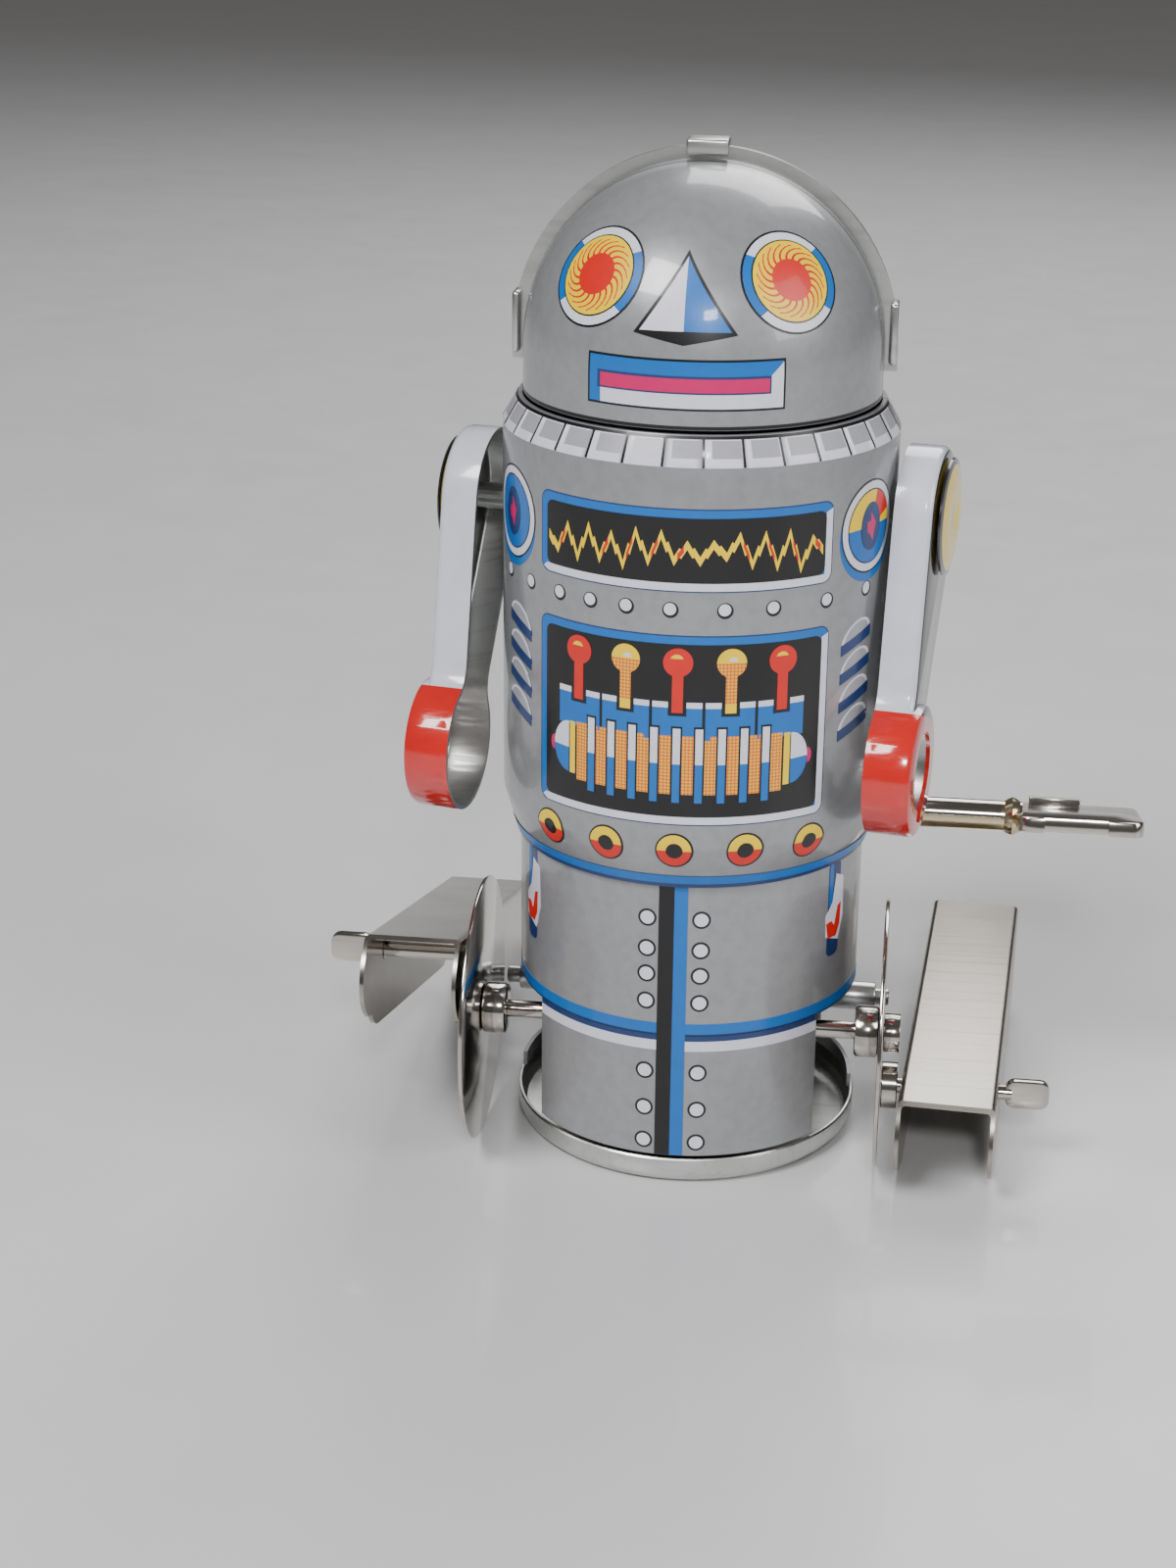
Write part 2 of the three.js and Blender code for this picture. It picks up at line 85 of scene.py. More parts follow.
@dataclass(frozen=True)
class Finish:
    """One finish of the toy, as a node material."""

    name: str
    colour: Colour
    second: Colour  # colour that the grain brings in
    metallic: float = 0.0
    roughness: float = 0.3
    coat: float = 0.0
    grain: Grain = Grain.SMOOTH
    amount: float = 0.25  # how much of the second colour shows
    scale: float = 220.0  # grain per metre
    relief: float = 0.01  # bump depth in millimetres
    edge_line: bool = False  # a black line along the seam of the face shell

    def material(self) -> bpy.types.Material:
        """The material, made once and then shared.

        Returns:
            The node material of this finish.
        """
        known = bpy.data.materials.get(self.name)
        if known:
            return known
        made = bpy.data.materials.new(self.name)
        made.use_nodes = True
        nodes, links = made.node_tree.nodes, made.node_tree.links
        shader = nodes["Principled BSDF"]
        shader.inputs["Metallic"].default_value = self.metallic
        shader.inputs["Coat Weight"].default_value = self.coat
        shader.inputs["Coat Roughness"].default_value = 0.06
        place = nodes.new("ShaderNodeTexCoord")
        factor = self._grain(nodes, links, place)
        mix = nodes.new("ShaderNodeMix")
        mix.data_type = "RGBA"
        mix.inputs["A"].default_value = (*self.colour, 1)
        mix.inputs["B"].default_value = (*self.second, 1)
        links.new(factor, mix.inputs["Factor"])
        colour = mix.outputs["Result"]
        if self.edge_line:
            colour = self._seam_line(nodes, links, place, colour)
        links.new(colour, shader.inputs["Base Color"])
        smudge = nodes.new("ShaderNodeTexNoise")
        smudge.inputs["Scale"].default_value = 90
        smudge.inputs["Detail"].default_value = 5
        links.new(place.outputs["Object"], smudge.inputs["Vector"])
        rough = nodes.new("ShaderNodeMapRange")
        rough.inputs["To Min"].default_value = self.roughness * 0.75
        rough.inputs["To Max"].default_value = self.roughness * 1.3
        links.new(smudge.outputs["Fac"], rough.inputs["Value"])
        links.new(rough.outputs["Result"], shader.inputs["Roughness"])
        bump = nodes.new("ShaderNodeBump")
        bump.inputs["Strength"].default_value = 0.35
        bump.inputs["Distance"].default_value = self.relief * MM
        links.new(factor, bump.inputs["Height"])
        links.new(bump.outputs["Normal"], shader.inputs["Normal"])
        return made

    def _grain(self, nodes: bpy.types.Nodes, links: bpy.types.NodeLinks,
               place: bpy.types.Node) -> bpy.types.NodeSocket:
        """The grain as a factor from 0 to `amount`.

        Args:
            nodes: Nodes of the material.
            links: Links of the material.
            place: Its texture coordinate node.

        Returns:
            The socket that carries the factor.
        """
        level = nodes.new("ShaderNodeMapRange")
        level.inputs["To Max"].default_value = self.amount
        if self.grain is Grain.HALFTONE:
            dots = nodes.new("ShaderNodeTexVoronoi")
            dots.voronoi_dimensions = "2D"
            dots.inputs["Scale"].default_value = self.scale
            dots.inputs["Randomness"].default_value = 0
            links.new(place.outputs["UV"], dots.inputs["Vector"])
            level.inputs["From Min"].default_value = 0.36
            level.inputs["From Max"].default_value = 0.42
            links.new(dots.outputs["Distance"], level.inputs["Value"])
            return level.outputs["Result"]
        if self.grain is Grain.SPANGLED:
            spangle = nodes.new("ShaderNodeTexVoronoi")
            spangle.inputs["Scale"].default_value = self.scale
            links.new(place.outputs["Object"], spangle.inputs["Vector"])
            links.new(spangle.outputs["Distance"], level.inputs["Value"])
            return level.outputs["Result"]
        noise = nodes.new("ShaderNodeTexNoise")
        noise.inputs["Scale"].default_value = self.scale
        noise.inputs["Detail"].default_value = 8
        if self.grain is Grain.SCRATCHED:
            stretch = nodes.new("ShaderNodeMapping")
            stretch.inputs["Rotation"].default_value = (0.4, 0.3, 0.9)
            stretch.inputs["Scale"].default_value = (0.08, 6.0, 1.6)
            links.new(place.outputs["Object"], stretch.inputs["Vector"])
            links.new(stretch.outputs["Vector"], noise.inputs["Vector"])
            level.inputs["From Min"].default_value = 0.52
            level.inputs["From Max"].default_value = 0.72
        else:
            links.new(place.outputs["Object"], noise.inputs["Vector"])
            level.inputs["From Min"].default_value = 0.4
            level.inputs["From Max"].default_value = 0.75
        links.new(noise.outputs["Fac"], level.inputs["Value"])
        return level.outputs["Result"]

    def _seam_line(self, nodes: bpy.types.Nodes, links: bpy.types.NodeLinks, place: bpy.types.Node,
                   colour: bpy.types.NodeSocket) -> bpy.types.NodeSocket:
        """Draws the black line that borders the face print beside the seam.

        Args:
            nodes: Nodes of the material.
            links: Links of the material.
            place: Its texture coordinate node.
            colour: The colour away from the line.

        Returns:
            The socket that carries the lined colour.
        """
        parts = nodes.new("ShaderNodeSeparateXYZ")
        links.new(place.outputs["Object"], parts.inputs["Vector"])
        line = nodes.new("ShaderNodeMath")
        line.operation = "COMPARE"
        line.inputs[1].default_value = -1.15 * MM
        line.inputs[2].default_value = 0.26 * MM
        links.new(parts.outputs["Y"], line.inputs[0])
        lined = nodes.new("ShaderNodeMix")
        lined.data_type = "RGBA"
        lined.inputs["B"].default_value = (0.012, 0.012, 0.014, 1)
        links.new(line.outputs["Value"], lined.inputs["Factor"])
        links.new(colour, lined.inputs["A"])
        return lined.outputs["Result"]


def ink(name: str, colour: Colour) -> Finish:
    """A gloss printing ink, a touch uneven."""
    worn = tuple(0.85 * c + 0.003 for c in colour)
    return Finish(name, colour, worn, roughness=0.34, coat=0.2, amount=0.5, scale=700, relief=0.002)


class Ink(Enum):
    """The colours that the tin is printed with."""

    BLACK = ink("ink_black", (0.003, 0.003, 0.004))
    NAVY = ink("ink_navy", (0.010, 0.035, 0.14))
    BLUE = ink("ink_blue", (0.0, 0.14, 0.50))
    WHITE = ink("ink_white", (0.74, 0.74, 0.84))
    GREY = ink("ink_grey", (0.36, 0.36, 0.40))
    MAGENTA = ink("ink_magenta", (0.62, 0.0, 0.12))
    YELLOW = ink("ink_yellow", (0.98, 0.66, 0.0))
    RED = ink("ink_red", (0.68, 0.012, 0.006))
    ORANGE = Finish("ink_orange_halftone", (0.93, 0.48, 0.01), (0.70, 0.10, 0.01), roughness=0.26,
                    coat=0.5, grain=Grain.HALFTONE, amount=0.9, scale=31.0, relief=0.0)


SILVER = Finish("enamel_silver_satin", (0.31, 0.315, 0.33), (0.25, 0.25, 0.265), metallic=0.3,
                roughness=0.34, coat=0.7, amount=0.6, scale=900, relief=0.002)
SILVER_FACE = Finish("enamel_silver_face", (0.31, 0.315, 0.33), (0.25, 0.25, 0.265), metallic=0.3,
                     roughness=0.34, coat=0.7, amount=0.6, scale=900, relief=0.002, edge_line=True)
WHITE_ENAMEL = Finish("enamel_white_gloss", (0.66, 0.67, 0.75), (0.5, 0.5, 0.56), roughness=0.2,
                      coat=0.8, amount=0.35, scale=300, relief=0.003)
RED_ENAMEL = Finish("enamel_red_gloss", (0.62, 0.014, 0.012), (0.45, 0.01, 0.01), roughness=0.18,
                    coat=0.9, amount=0.5, scale=260, relief=0.003)
BLACK_ENAMEL = Finish("enamel_black_gloss", (0.012, 0.012, 0.015), (0.05, 0.05, 0.06),
                      roughness=0.2, coat=0.8, amount=0.4, scale=400, relief=0.003)
YELLOW_ENAMEL = Finish("enamel_yellow_gloss", (0.92, 0.66, 0.01), (0.75, 0.45, 0.0),
                       roughness=0.2, coat=0.8, amount=0.4, scale=300, relief=0.003)
NICKEL = Finish("nickel_bright", (0.55, 0.52, 0.475), (0.34, 0.31, 0.27), metallic=1.0,
                roughness=0.13, grain=Grain.SCRATCHED, amount=0.55, scale=420, relief=0.004)
# A darker, warmer copy of the nickel for the feet: the darkening is painted shade, standing in for
# the dark backdrop that the foot plates reflect.
SHADED_FOOT_NICKEL = Finish("foot_nickel_painted_shade", (0.40, 0.37, 0.33), (0.29, 0.26, 0.23), metallic=1.0,
                     roughness=0.2, grain=Grain.SCRATCHED, amount=0.5, scale=300, relief=0.004)
ZINC = Finish("zinc_plate", (0.62, 0.64, 0.64), (0.40, 0.41, 0.40), metallic=1.0, roughness=0.3,
              grain=Grain.SPANGLED, amount=0.4, scale=900, relief=0.01)
TIN = Finish("bare_tinplate", (0.60, 0.61, 0.59), (0.34, 0.33, 0.30), metallic=1.0, roughness=0.3,
             grain=Grain.SCRATCHED, amount=0.4, scale=620, relief=0.01)
BRASS = Finish("plain_brass", (0.62, 0.43, 0.16), (0.42, 0.25, 0.08), metallic=1.0, roughness=0.28,
               grain=Grain.SCRATCHED, amount=0.6, scale=500, relief=0.01)
BLUED = Finish("blued_spring_steel", (0.10, 0.12, 0.18), (0.20, 0.14, 0.10), metallic=1.0,
               roughness=0.25, grain=Grain.SCRATCHED, amount=0.5, scale=400, relief=0.006)
YELLOWED = Finish("yellowed_nickel", (0.62, 0.52, 0.34), (0.72, 0.68, 0.60), metallic=1.0,
                  roughness=0.2, grain=Grain.SCRATCHED, amount=0.5, scale=500, relief=0.004)


# ---- modelling moves ------------------------------------------------------------------------
class Bench:
    """The modelling moves that the pieces share, in millimetres."""

    @staticmethod
    def polygon(name: str, points: Sequence[Sequence[float]]) -> bpy.types.Object:
        """A filled outline.

        Args:
            name: Name of the new object.
            points: Corners in order, as x, y, z.

        Returns:
            An object with one face.
        """
        bpy.ops.object.select_all(action="DESELECT")
        bpy.ops.mesh.primitive_circle_add(vertices=len(points), fill_type="NGON")
        made = bpy.context.object
        made.name = name
        for vertex, point in zip(made.data.vertices, points):
            vertex.co = point
        return made

    @staticmethod
    def work_on(piece: bpy.types.Object) -> None:
        """Makes a piece the only selected and the active one, and opens it with all selected."""
        bpy.ops.object.select_all(action="DESELECT")
        piece.select_set(True)
        bpy.context.view_layer.objects.active = piece
        bpy.ops.object.mode_set(mode="EDIT")
        bpy.ops.mesh.select_all(action="SELECT")

    @staticmethod
    def close(merge: float = 1e-4) -> None:
        """Merges doubles, turns the faces outwards and leaves edit mode."""
        bpy.ops.mesh.select_all(action="SELECT")
        bpy.ops.mesh.remove_doubles(threshold=merge)
        bpy.ops.mesh.normals_make_consistent(inside=False)
        bpy.ops.object.mode_set(mode="OBJECT")

    @classmethod
    def extrude(cls, piece: bpy.types.Object, way: Sequence[float]) -> bpy.types.Object:
        """Pulls a filled outline out into a solid along `way`."""
        cls.work_on(piece)
        bpy.ops.mesh.extrude_region_move(TRANSFORM_OT_translate={"value": tuple(way)})
        cls.close()
        return piece

    @classmethod
    def spin(cls, piece: bpy.types.Object, degrees: float, steps: int,
             axis: Sequence[float]) -> bpy.types.Object:
        """Turns a filled outline about an axis through the origin.

        Args:
            piece: The outline.
            degrees: How far it turns; 360 makes a closed ring.
            steps: Facets of the turn.
            axis: Direction of the axis.

        Returns:
            The same piece, closed.
        """
        cls.work_on(piece)
        if degrees == 360:
            bpy.ops.mesh.delete(type="ONLY_FACE")
            bpy.ops.mesh.select_all(action="SELECT")
        bpy.ops.mesh.spin(steps=steps, angle=math.radians(degrees), center=(0, 0, 0), axis=axis)
        cls.close()
        return piece

    @classmethod
    def turned(cls, name: str, profile: Sequence[Point2], steps: int = 64) -> bpy.types.Object:
        """A (radius, x) profile turned about the X axis."""
        outline = cls.polygon(name, [(x, r, 0) for r, x in profile])
        return cls.spin(outline, 360, steps, (1, 0, 0))

    @classmethod
    def bevel(cls, piece: bpy.types.Object, pick: Callable[[Vector, Vector], bool], width: float,
              segments: int = 3) -> bpy.types.Object:
        """Rounds the edges that `pick` chooses.

        Args:
            piece: The piece.
            pick: Told both ends of an edge, says whether it is rounded.
            width: Width of the rounding.
            segments: Facets of the rounding.

        Returns:
            The same piece.
        """
        cls.work_on(piece)
        bpy.ops.mesh.select_all(action="DESELECT")
        bpy.ops.mesh.select_mode(type="EDGE")
        bpy.ops.object.mode_set(mode="OBJECT")
        points = piece.data.vertices
        for edge in piece.data.edges:
            first, second = (points[i].co for i in edge.vertices)
            edge.select = pick(first, second)
        bpy.ops.object.mode_set(mode="EDIT")
        bpy.ops.mesh.bevel(offset=width, segments=segments, affect="EDGES", clamp_overlap=True)
        cls.close()
        return piece

    @classmethod
    def slab(cls, name: str, low: Sequence[float], high: Sequence[float],
             rounding: float = 0.0) -> bpy.types.Object:
        """A block between two corners, with every edge rounded a little where asked."""
        x0, y0, z0 = low
        x1, y1, z1 = high
        foot = cls.polygon(name, [(x0, y0, z0), (x1, y0, z0), (x1, y1, z0), (x0, y1, z0)])
        cls.extrude(foot, (0, 0, z1 - z0))
        return cls.bevel(foot, lambda a, b: True, rounding) if rounding else foot

    @classmethod
    def tube(cls, name: str, radius: float, bore: float, x0: float, x1: float,
             at: Point2 = (0, 0), rounding: float = 0.12, steps: int = 64) -> bpy.types.Object:
        """A tube along X with rounded outer rims, about (y, z) = `at`. Solid with a bore of 0."""
        r, c = radius, rounding
        profile = [(bore, x0), (r - c, x0), (r - c * 0.3, x0 + c * 0.3), (r, x0 + c),
                   (r, x1 - c), (r - c * 0.3, x1 - c * 0.3), (r - c, x1), (bore, x1)]
        made = cls.turned(name, profile, steps)
        made.data.transform(Matrix.Translation((0, *at)))
        return made

    @classmethod
    def rod(cls, name: str, radius: float, x0: float, x1: float, at: Point2 = (0, 0),
            rounding: float = 0.12, steps: int = 48) -> bpy.types.Object:
        """A rod along X with rounded rims, about (y, z) = `at`."""
        return cls.tube(name, radius, 0, x0, x1, at, min(rounding, radius * 0.4), steps)

    @staticmethod
    def combine(piece: bpy.types.Object, tool: bpy.types.Object, how: str) -> bpy.types.Object:
        """Joins, cuts or crops a piece by a tool, which is used up.

        Args:
            piece: The piece that stays.
            tool: The other body.
            how: UNION, DIFFERENCE or INTERSECT.

        Returns:
            The same piece.
        """
        bpy.ops.object.select_all(action="DESELECT")
        bpy.context.view_layer.objects.active = piece
        piece.select_set(True)
        step = piece.modifiers.new("combine", "BOOLEAN")
        step.operation = how
        step.solver = "EXACT"
        step.object = tool
        bpy.ops.object.modifier_apply(modifier=step.name)
        bpy.data.objects.remove(tool)
        return piece

    @classmethod
    def cut(cls, piece: bpy.types.Object, *tools: bpy.types.Object) -> bpy.types.Object:
        """Cuts each tool out of a piece."""
        for tool in tools:
            cls.combine(piece, tool, "DIFFERENCE")
        return piece

    @classmethod
    def weld(cls, piece: bpy.types.Object, *others: bpy.types.Object) -> bpy.types.Object:
        """Joins bodies into one."""
        for other in others:
            cls.combine(piece, other, "UNION")
        return piece

    @staticmethod
    def mirror(piece: bpy.types.Object) -> bpy.types.Object:
        """Turns a piece into its other hand, through the plane x = 0."""
        piece.data.transform(Matrix.Diagonal((-1, 1, 1, 1)))
        piece.data.flip_normals()
        return piece


@dataclass
class Keeper:
    """Hands finished pieces over to the frame."""

    count: int = 0

    def keep(self, piece: bpy.types.Object, finish: Finish | None, body: str, slot: str,
             *nodes: str, turn: Matrix | None = None) -> bpy.types.Object:
        """Brings a piece to metres, dresses it and fixes it to its body.

        Args:
            piece: The piece, in millimetres.
            finish: Its finish, or None where its faces already have theirs.
            body: The body that it rides on.
            slot: The record's material slot; not used.
            *nodes: CAD nodes that it stands for.
            turn: Where the piece goes, in millimetres, if it isn't in place yet.

        Returns:
            The same piece.
        """
        piece.data.transform(Matrix.Scale(MM, 4) @ (turn or Matrix()))
        if finish:
            piece.data.materials.clear()
            piece.data.materials.append(finish.material())
        bpy.ops.object.select_all(action="DESELECT")
        piece.select_set(True)
        bpy.context.view_layer.objects.active = piece
        bpy.ops.object.shade_smooth_by_angle(angle=SMOOTH_ANGLE)
        piece.data.name = piece.name
        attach(piece, body)
        if nodes:
            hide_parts(*nodes)
        self.count += 1
        LOG.info("%s: %d faces, rides on %s", piece.name, len(piece.data.polygons), body)
        return piece


def node_box(node: str) -> tuple[Vector, Vector]:
    """The low and high corners of a CAD node, in millimetres."""
    low, high = (Vector(corner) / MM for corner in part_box(node))
    return low, high


# ---- outlines for the print -----------------------------------------------------------------
def oblong(u0: float, u1: float, v0: float, v1: float) -> Outline:
    """A rectangle."""
    return [(u0, v0), (u1, v0), (u1, v1), (u0, v1)]


def rounded(u0: float, u1: float, v0: float, v1: float, radius: float) -> Outline:
    """A rectangle with round corners."""
    corners = [(u1 - radius, v0 + radius, -90), (u1 - radius, v1 - radius, 0),
               (u0 + radius, v1 - radius, 90), (u0 + radius, v0 + radius, 180)]
    return [point for u, v, start in corners for point in arc(u, v, radius, start, start + 90, 5)]


def arc(u: float, v: float, radius: float, start: float, end: float, steps: int) -> Outline:
    """Points of an arc, ends included, from `start` to `end` degrees."""
    angles = [math.radians(start + (end - start) * i / steps) for i in range(steps + 1)]
    return [(u + radius * math.cos(a), v + radius * math.sin(a)) for a in angles]


def curve(a: Point2, b: Point2, c: Point2, d: Point2, steps: int = 14) -> Outline:
    """A cubic curve from `a` to `d`, ends included."""
    line = []
    for i in range(steps + 1):
        t = i / steps
        weights = ((1 - t)**3, 3 * t * (1 - t)**2, 3 * t * t * (1 - t), t**3)
        line.append(tuple(sum(w * p[k] for w, p in zip(weights, (a, b, c, d))) for k in (0, 1)))
    return line


def narrowed(points: Outline, middle: float, share: float) -> Outline:
    """Points drawn in sideways towards an upright line."""
    return [(middle + share * (u - middle), v) for u, v in points]


def round_dot(u: float, v: float, radius: float, steps: int = 28) -> Outline:
    """A full circle."""
    return arc(u, v, radius, 0, 360, steps)[:-1]


def ribbon(points: Outline, half: float) -> Outline:
    """A zigzag band of even height about a line of points."""
    return [(u, v - half) for u, v in points] + [(u, v + half) for u, v in reversed(points)]


@dataclass
class PrintSheet:
    """Inks laid on one shell, drawn flat in millimetres and then wrapped round it."""

    name: str
    body: str
    wrap: Callable[[float, float, float], Vector]  # across, up and lift to a place on the shell
    tall_cuts: tuple[float, ...] = ()  # heights where the shell's slope changes
    step: float = 1.0
    lift: float = 0.022
    layer: float = 0.012
    shapes: dict = field(default_factory=lambda: defaultdict(list))

    def lay(self, colour: Ink, level: int, *outlines: Outline) -> None:
        """Lays outlines in one ink, above every lower level."""
        self.shapes[colour] += [(level, outline) for outline in outlines]

    def print_on(self, keeper: Keeper) -> None:
        """Makes one closed, wrapped piece of each ink.

        Args:
            keeper: Takes the pieces.
        """
        for colour, shapes in self.shapes.items():
            piece = self._flat(colour, shapes)
            self._wrap(piece)
            keeper.keep(piece, colour.value, self.body, "enamel_silver")

    def _flat(self, colour: Ink, shapes: list) -> bpy.types.Object:
        """The ink's outlines as flat solids, cut into strips that can bend."""
        points = [(u, level, v) for level, outline in shapes for u, v in outline]
        mesh = bpy.data.meshes.new("print")
        faces, start = [], 0
        for _, outline in shapes:
            faces.append(list(range(start, start + len(outline))))
            start += len(outline)
        mesh.from_pydata(points, [], faces)
        piece = bpy.data.objects.new(f"{self.name}_{colour.name.lower()}", mesh)
        bpy.context.scene.collection.objects.link(piece)
        across = [u for u, _, _ in points]
        upright = [v for _, _, v in points]
        Bench.work_on(piece)
        for k in range(math.ceil(min(across) / self.step), math.floor(max(across) / self.step) + 1):
            self._slice((k * self.step, 0, 0), (1, 0, 0))
        for height in self.tall_cuts:
            if min(upright) < height < max(upright):
                self._slice((0, 0, height), (0, 0, 1))
        bpy.ops.mesh.select_all(action="SELECT")
        bpy.ops.mesh.extrude_region_move(TRANSFORM_OT_translate={"value": (0, -0.5, 0)})
        Bench.close()
        return piece

    @staticmethod
    def _slice(at: Sequence[float], normal: Sequence[float]) -> None:
        """Cuts every face of the open piece along a plane."""
        bpy.ops.mesh.select_all(action="SELECT")
        bpy.ops.mesh.bisect(plane_co=at, plane_no=normal)

    def _wrap(self, piece: bpy.types.Object) -> None:
        """Gives the flat print its UV map, then bends it round the shell."""
        mesh = piece.data
        flat = [vertex.co.copy() for vertex in mesh.vertices]
        chart = mesh.uv_layers.new(name="Print")
        for loop in mesh.loops:
            place = flat[loop.vertex_index]
            chart.data[loop.index].uv = (place.x / 10, place.z / 10)
        for vertex, place in zip(mesh.vertices, flat):
            level = math.ceil(place.y - 0.01)
            printed = level - place.y > 0.25
            lift = self.lift + self.layer * level if printed else -self.lift
            vertex.co = self.wrap(place.x, place.z, lift)
        Bench.work_on(piece)
        Bench.close(1e-5)


# ---- body shells ----------------------------------------------------------------------------
@dataclass
class Shells:
    """Base cup, hips, torso and head, spun from tin in front and rear halves."""

    keeper: Keeper
    wall: float = 0.4
    seam: float = 0.5  # degrees left open at each side between the halves
    hips_radius: float = 16.64
    hips_bottom: float = 2.95
    opening: Point2 = (4.4, 15.6)
    apron: float = 53.0  # where the front's side openings start
    rear_opening: float = 52.0  # the same for the rear half
    opening_end: float = 128.0
    apron_end: float = 92.0
    sleeve_gap: float = 0.15
    key_hole: float = 1.75
    rivet_hole: float = 2.0
    torso_radius: float = 18.36
    hem_radius: float = 17.05
    hem: Point2 = (31.0, 35.4)
    shoulder: Point2 = (71.0, 73.4)
    collar_radius: float = 16.95
    head_radius: float = 16.52
    head_bottom: float = 73.7
    head_centre: float = 78.0
    flange_radius: float = 17.7
    flange: Point2 = (0.15, 1.45)
    tab_half: float = 1.9
    tab_back: float = 2.1
    ear: Point2 = (76.6, 82.2)

    def build(self) -> None:
        """Makes all seven shells."""
        self._cup()
        for side, name in ((-1, "front"), (1, "rear")):
            self._hips(side, f"hips_{name}")
            self._torso(side, f"torso_{name}")
        self._face()
        self._rear_head()

    def _half(self, name: str, profile: Sequence[Point2], side: int) -> bpy.types.Object:
        """Spins a (radius, z) profile through the front (-1) or rear (1) half turn."""
        start = math.radians(self.seam)
        points = [(r * math.cos(start), side * r * math.sin(start), z) for r, z in profile]
        made = Bench.polygon(name, points)
        return Bench.spin(made, -side * (180 - 2 * self.seam), SHELL_STEPS, (0, 0, 1))

    def _wedge(self, start: float, end: float, low: float, high: float) -> bpy.types.Object:
        """A cutter between two azimuths and two heights."""
        reach = 34
        spots = [start, (start + end) / 2, end]
        rim = [(reach * math.sin(math.radians(a)), -reach * math.cos(math.radians(a)), low)
               for a in spots]
        return Bench.extrude(Bench.polygon("wedge", [(0, 0, low), *rim]), (0, 0, high - low))

    def _cup(self) -> None:
        """The pressed cup that the robot stands on, with a rounded foot and a rolled rim."""
        bottom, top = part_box("base_cup")
        low, high, rim = bottom[2] / MM, top[2] / MM, top[0] / MM
        w = self.wall
        foot = [(rim - 1.2, low), (rim - 0.75, low + 0.06), (rim - 0.3, low + 0.45), (rim, 1.1)]
        lip = [(rim, high - 0.15), (rim - 0.12, high), (rim - w + 0.1, high), (rim - w, high - 0.1)]
        inside = [(rim - w, 1.3), (rim - 0.85, 0.62), (rim - 1.4, 0.5)]
        floor = [(6.0, 0.5), (5.6, 0.8), (0, 0.8), (0, 0.4), (5.8, 0.4), (6.2, low)]
        profile = [(x, -z) for x, z in [*foot, *lip, *inside, *floor]]
        cup = Bench.turned("cup_pressing", profile, 2 * SHELL_STEPS)
        cup.data.transform(Matrix.Rotation(math.radians(90), 4, "Y"))
        self.keeper.keep(cup, TIN, "body", "tinplate", "base_cup")

    def _hips(self, side: int, node: str) -> None:
        """Lower tube with its apron and side openings.

        Args:
            side: -1 for the front half, 1 for the rear.
            node: The CAD node that it stands for.
        """
        r, w, low = self.hips_radius, self.wall, self.hips_bottom
        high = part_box(node)[1][2] / MM
        profile = [(r, low), (r, high), (r - w, high), (r - w, low)]
        shell = self._half(f"{node}_tube", profile, side)
        for mirrored in (False, True):
            start = self.apron if side < 0 else self.rear_opening
            tools = [self._wedge(start, self.opening_end, *self.opening), self._rod_hole()]
            if side < 0:
                tools.append(self._wedge(self.apron, self.apron_end, 0, self.opening[0] + 0.2))
            for tool in tools:
                Bench.cut(shell, Bench.mirror(tool) if mirrored else tool)
        Bench.cut(shell, self._key_hole())
        self.keeper.keep(shell, SILVER, "body", "enamel_silver", node)

    def _rod_hole(self) -> bpy.types.Object:
        """Drill for the sleeve of the guide rod."""
        low, high = node_box("right_rod_sleeve")
        middle = (low + high) / 2
        radius = (high.y - low.y) / 2 + self.sleeve_gap
        return Bench.rod("drill", radius, 8, 30, (middle.y, middle.z))

    def _key_hole(self) -> bpy.types.Object:
        """Drill for the shank of the key."""
        low, high = node_box("winding_arbor")
        middle = (low + high) / 2
        return Bench.rod("drill", self.key_hole, 10, 30, (middle.y, middle.z))

    def _torso(self, side: int, node: str) -> None:
        """Upper tube with its tapered hem and its bevelled shoulder."""
        r, w = self.torso_radius, self.wall
        (z0, z1), (z2, z3) = self.hem, self.shoulder
        hem, collar = self.hem_radius, self.collar_radius
        outside = [(hem - 0.1, z0), (hem, z0 + 0.12), (r - 0.05, z1 - 0.15), (r, z1 + 0.15),
                   (r, z2 - 0.15), (r - 0.06, z2 + 0.1), (collar + 0.06, z3 - 0.1), (collar, z3)]
        inside = [(collar - w, z3), (r - w, z2 - 0.2), (r - w, z1 + 0.2), (hem - w, z0)]
        shell = self._half(f"{node}_tube", outside + inside, side)
        bottom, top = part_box("right_shoulder_cap")
        height = (bottom[2] + top[2]) / 2 / MM
        Bench.cut(shell, Bench.rod("drill", self.rivet_hole, -30, 30, (0, height)), self._key_hole())
        self.keeper.keep(shell, SILVER, "body", "enamel_silver", node)

    def _dome(self, outer: float, inner: float, foot: float) -> list[Point2]:
        """Profile of a domed shell, from the outer foot over the crown and back inside."""
        steps = 24
        rise = [math.radians(90 * i / steps) for i in range(steps + 1)]
        outside = [(outer * math.cos(a), self.head_centre + outer * math.sin(a)) for a in rise]
        inside = [(inner * math.cos(a), self.head_centre + inner * math.sin(a)) for a in rise]
        return [(outer, foot), *outside[:-1], (0, outside[-1][1]), (0, inside[-1][1]),
                *reversed(inside[:-1]), (inner, foot)]

    def _face(self) -> None:
        """The printed front half of the head."""
        r = self.head_radius
        shell = self._half("face_shell", self._dome(r, r - self.wall, self.head_bottom), -1)
        self.keeper.keep(shell, SILVER_FACE, "body", "enamel_silver", "head_front")

